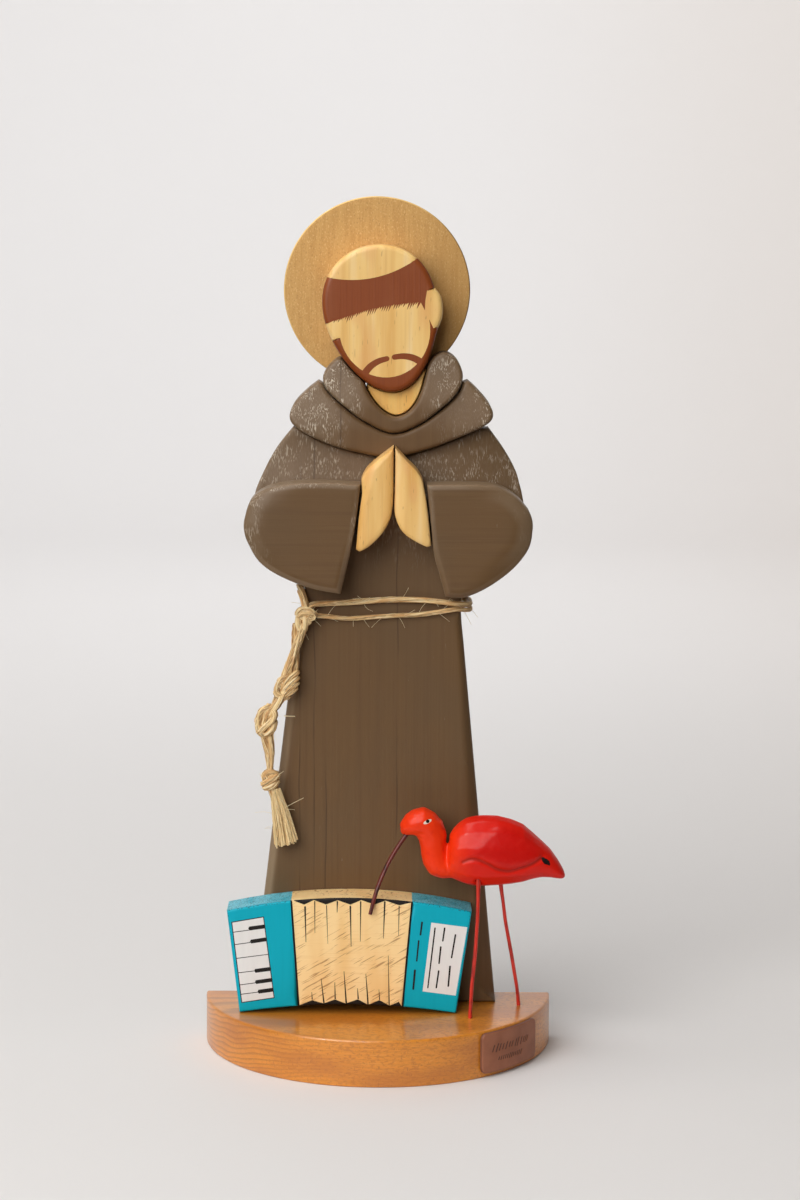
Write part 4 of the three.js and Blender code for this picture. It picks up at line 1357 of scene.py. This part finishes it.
def carve_ibis():
    rough = bpy.data.objects.new("ibis_rough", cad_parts["ibis_body"].data.copy())
    bpy.context.scene.collection.objects.link(rough)
    weld = rough.modifiers.new("weld", "WELD")
    weld.merge_threshold = 2e-5
    remesh = rough.modifiers.new("remesh", "REMESH")
    remesh.mode, remesh.voxel_size, remesh.use_smooth_shade = "VOXEL", CARVED_VOXEL, True
    sand = rough.modifiers.new("sand", "SMOOTH")
    sand.factor, sand.iterations = 0.6, 10
    cut = rough.evaluated_get(bpy.context.evaluated_depsgraph_get())
    mesh = bpy.data.meshes.new_from_object(cut)
    bpy.data.objects.remove(rough)
    count = len(mesh.vertices)
    places, normals = np.empty(count * 3), np.empty(count * 3)
    mesh.vertices.foreach_get("co", places)
    mesh.vertices.foreach_get("normal", normals)
    places, normals = places.reshape(-1, 3) * 1000, normals.reshape(-1, 3)
    flat = places[:, [0, 2]]
    sideways = np.clip(np.abs(normals[:, 1]) * 2.2, 0, 1)
    wing = depth_inside(flat, run_smooth(WING, 0.8, True, 60))
    groove = np.exp(-((away_from(flat, run_smooth(WING_GROOVE, 0.6)) / 1.0) ** 2))
    throat = np.exp(-((away_from(flat, THROAT_GROOVE) / 0.6) ** 2))
    out = ease(wing, -1.2, 3.6) * 0.5 - groove * 0.75 - throat * 0.25
    places += normals * (out * sideways)[:, None]
    crown = np.exp(-((np.linalg.norm(flat - CROWN, axis=1) / 3.8) ** 2)) * 1.2
    nape = np.exp(-((away_from(flat, NAPE) / 1.8) ** 2)) * 0.9
    places += normals * (crown + nape)[:, None]
    mesh.vertices.foreach_set("co", (places / 1000).ravel())
    mesh.materials.clear()
    # How much painted shade darkens the grooves under the wings and at the throat.
    groove_shade = np.maximum(groove, throat * 0.35) * sideways
    return mark(mesh, wing=ease(wing, -1.0, 4.5), groove=groove_shade)


def ibis_red():
    coat = Finish(
        "ibis_red", Roughness=0.45, IOR=1.46, Specular_IOR_Level=0.18, Coat_Roughness=0.1,
    )
    forward = coat.x.drop(27, 42)
    streaks = coat.clouds(0.4, 2, 4)
    colour = coat.painted(
        (218, 24, 4),
        ((240, 56, 12), forward),
        ((190, 4, 2), coat.attribute("wing") * 0.7),
        ((216, 34, 20), streaks.rise(0.5, 0.8) * 0.3),
        # painted shade in the grooves under the wings and at the throat
        ((112, 26, 14), coat.attribute("groove").rise(0.3, 1.0) * 0.5),
    )
    across = coat.x - EYE[0]
    eye = (across / 1.75) ** 2 + ((coat.z - EYE[1] - across * 0.35) / 0.8) ** 2
    pupil = ((coat.x - PUPIL[0]) / 0.75) ** 2 + ((coat.z - PUPIL[1]) / 0.75) ** 2
    colour = coat.painted(
        colour,
        ((228, 214, 196), eye.drop(0.85, 1.1)),
        ((24, 18, 16), pupil.drop(0.8, 1.15)),
    )
    edge = coat.clouds(0.9, 2, 3) * 1.2
    across = coat.x - TAIL_PATCH[0]
    upward = coat.z - TAIL_PATCH[1] + across * 0.6
    patch = (across / 1.9) ** 2 + (upward / 1.3) ** 2 + edge - 0.6
    colour = coat.painted(colour, ((26, 20, 18), patch.drop(0.85, 1.1)))
    gloss = 0.12 + streaks * 0.18
    return coat.coat(colour, 0.38 + streaks * 0.14, streaks, 0.25, Coat_Weight=gloss)


fit(shown("ibis_carving", carve_ibis(), [ibis_red()], 75), "red_wood", "ibis_body")


# The beak is a bent wire painted dark red, and the legs are two red wires glued into holes. Each
# is thickest where it enters the ibis, and darker paint shows in patches along it.
BEAK_LINE = [
    (15.4, 6.1, 101.2), (11.6, 5.4, 97), (7.6, 4.4, 91.2), (3.4, 3, 83.8), (-0.5, 1.2, 74.3),
    (-3.4, -0.2, 64),
]
NEAR_LEG = [
    (42.4, 1.6, 82), (42.4, 0.6, 76), (42.1, -0.5, 61.5), (41.3, -1.5, 47.4), (39.9, -2.6, 33.3),
    (39.2, -3.6, 20), (39.2, -3.8, 15),
]
FAR_LEG = [
    (51.7, 9.6, 82), (52.2, 10.2, 75), (54.5, 12.2, 58.3), (57.3, 14, 43.3), (59.8, 15.8, 28.2),
    (60.7, 16.8, 20), (60.9, 17, 15),
]


def wire_paint(name, light, dark, patchy):
    coat = Finish(name, Roughness=0.3, IOR=1.5)
    wear_and_sheen = coat.clouds((0.5, 0.5, 0.12), 3, 6)
    colour = coat.painted(light, (dark, wear_and_sheen.rise(0.45, 0.7) * patchy))
    return coat.coat(colour, 0.26 + wear_and_sheen * 0.2, wear_and_sheen, 0.15)


leg_red = wire_paint("wire_red", (206, 44, 26), (116, 18, 12), 0.75)
beak_red = wire_paint("beak_maroon", (104, 30, 20), (40, 16, 14), 0.9)
for name, line, radii, finish, slot in (
    ("ibis_beak", BEAK_LINE, (1.05, 0.95, 0.9, 0.85, 0.8), beak_red, "dark_wire"),
    ("ibis_leg_near", NEAR_LEG, (1.2, 0.8, 0.76, 0.76, 0.8, 0.95), leg_red, "red_wire"),
    ("ibis_leg_far", FAR_LEG, (1.15, 0.78, 0.74, 0.74, 0.78, 0.95), leg_red, "red_wire"),
):
    bundle = new_bundle()
    spin(bundle, run_smooth(line, 0.9), radii, sides=16, fibres=1, turns=0.01, seed=3)
    fit(spun(f"{name}_wire", bundle, finish), slot, name)


# The studio: a round sheet of white paper under the statue that curves up all round it. Only its
# middle and the part behind the statue throw light back, as if the rest lay in a dark studio.
PAPER_BEND, PAPER_TOP, SECTORS = 0.7, 3.2, 48
BEHIND_STATUE = 0.35


def paper_sweep(name, lit):
    flat = WALL_REACH - PAPER_BEND
    rows = [(reach, 0.0) for reach in (0.2, 0.5, 0.8, 1.1, 1.4, 1.7, flat)]
    for a in np.linspace(0.1, 1.5, 15):
        rows.append((flat + PAPER_BEND * math.sin(a), PAPER_BEND * (1 - math.cos(a))))
    rows += [(WALL_REACH, z) for z in np.linspace(0.8, PAPER_TOP, 9)]
    turns = np.arange(SECTORS) * 2 * math.pi / SECTORS
    places = [(r * math.sin(a), r * math.cos(a) - 0.1, z) for r, z in rows for a in turns]
    faces = [tuple(range(len(turns)))[::-1]] if lit else []
    for j in range(len(rows) - 1):
        for i, angle in enumerate(turns):
            if (math.cos(angle + math.pi / SECTORS) > BEHIND_STATUE) == lit:
                a, b = j * len(turns) + i, j * len(turns) + (i + 1) % len(turns)
                faces.append((a, b, b + len(turns), a + len(turns)))
    used = sorted({corner for face in faces for corner in face})
    renamed = {corner: number for number, corner in enumerate(used)}
    faces = [tuple(renamed[corner] for corner in face) for face in faces]
    mesh = bpy.data.meshes.new(name)
    mesh.from_pydata([places[corner] for corner in used], [], faces)
    paper = Finish(name, Roughness=0.75)
    warm = paper.clouds(0.002, 1, 1)
    colour = paper.painted(
        (228, 226, 225),
        ((231, 229, 228), warm),
        # painted shade: the paper turns a little darker and warmer towards the right
        ((224, 219, 215), paper.x.rise(20, 600)),
    )
    sheet = shown(name, mesh, [paper.coat(colour)], 80)
    sheet.visible_diffuse = sheet.visible_glossy = lit
    return sheet


paper_sweep("near_paper", True)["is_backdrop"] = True
paper_sweep("paper_sweep", False)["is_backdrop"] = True

sizes = {"cad": [list(point) for point in cad_box], "visual": [list(point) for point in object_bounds()]}
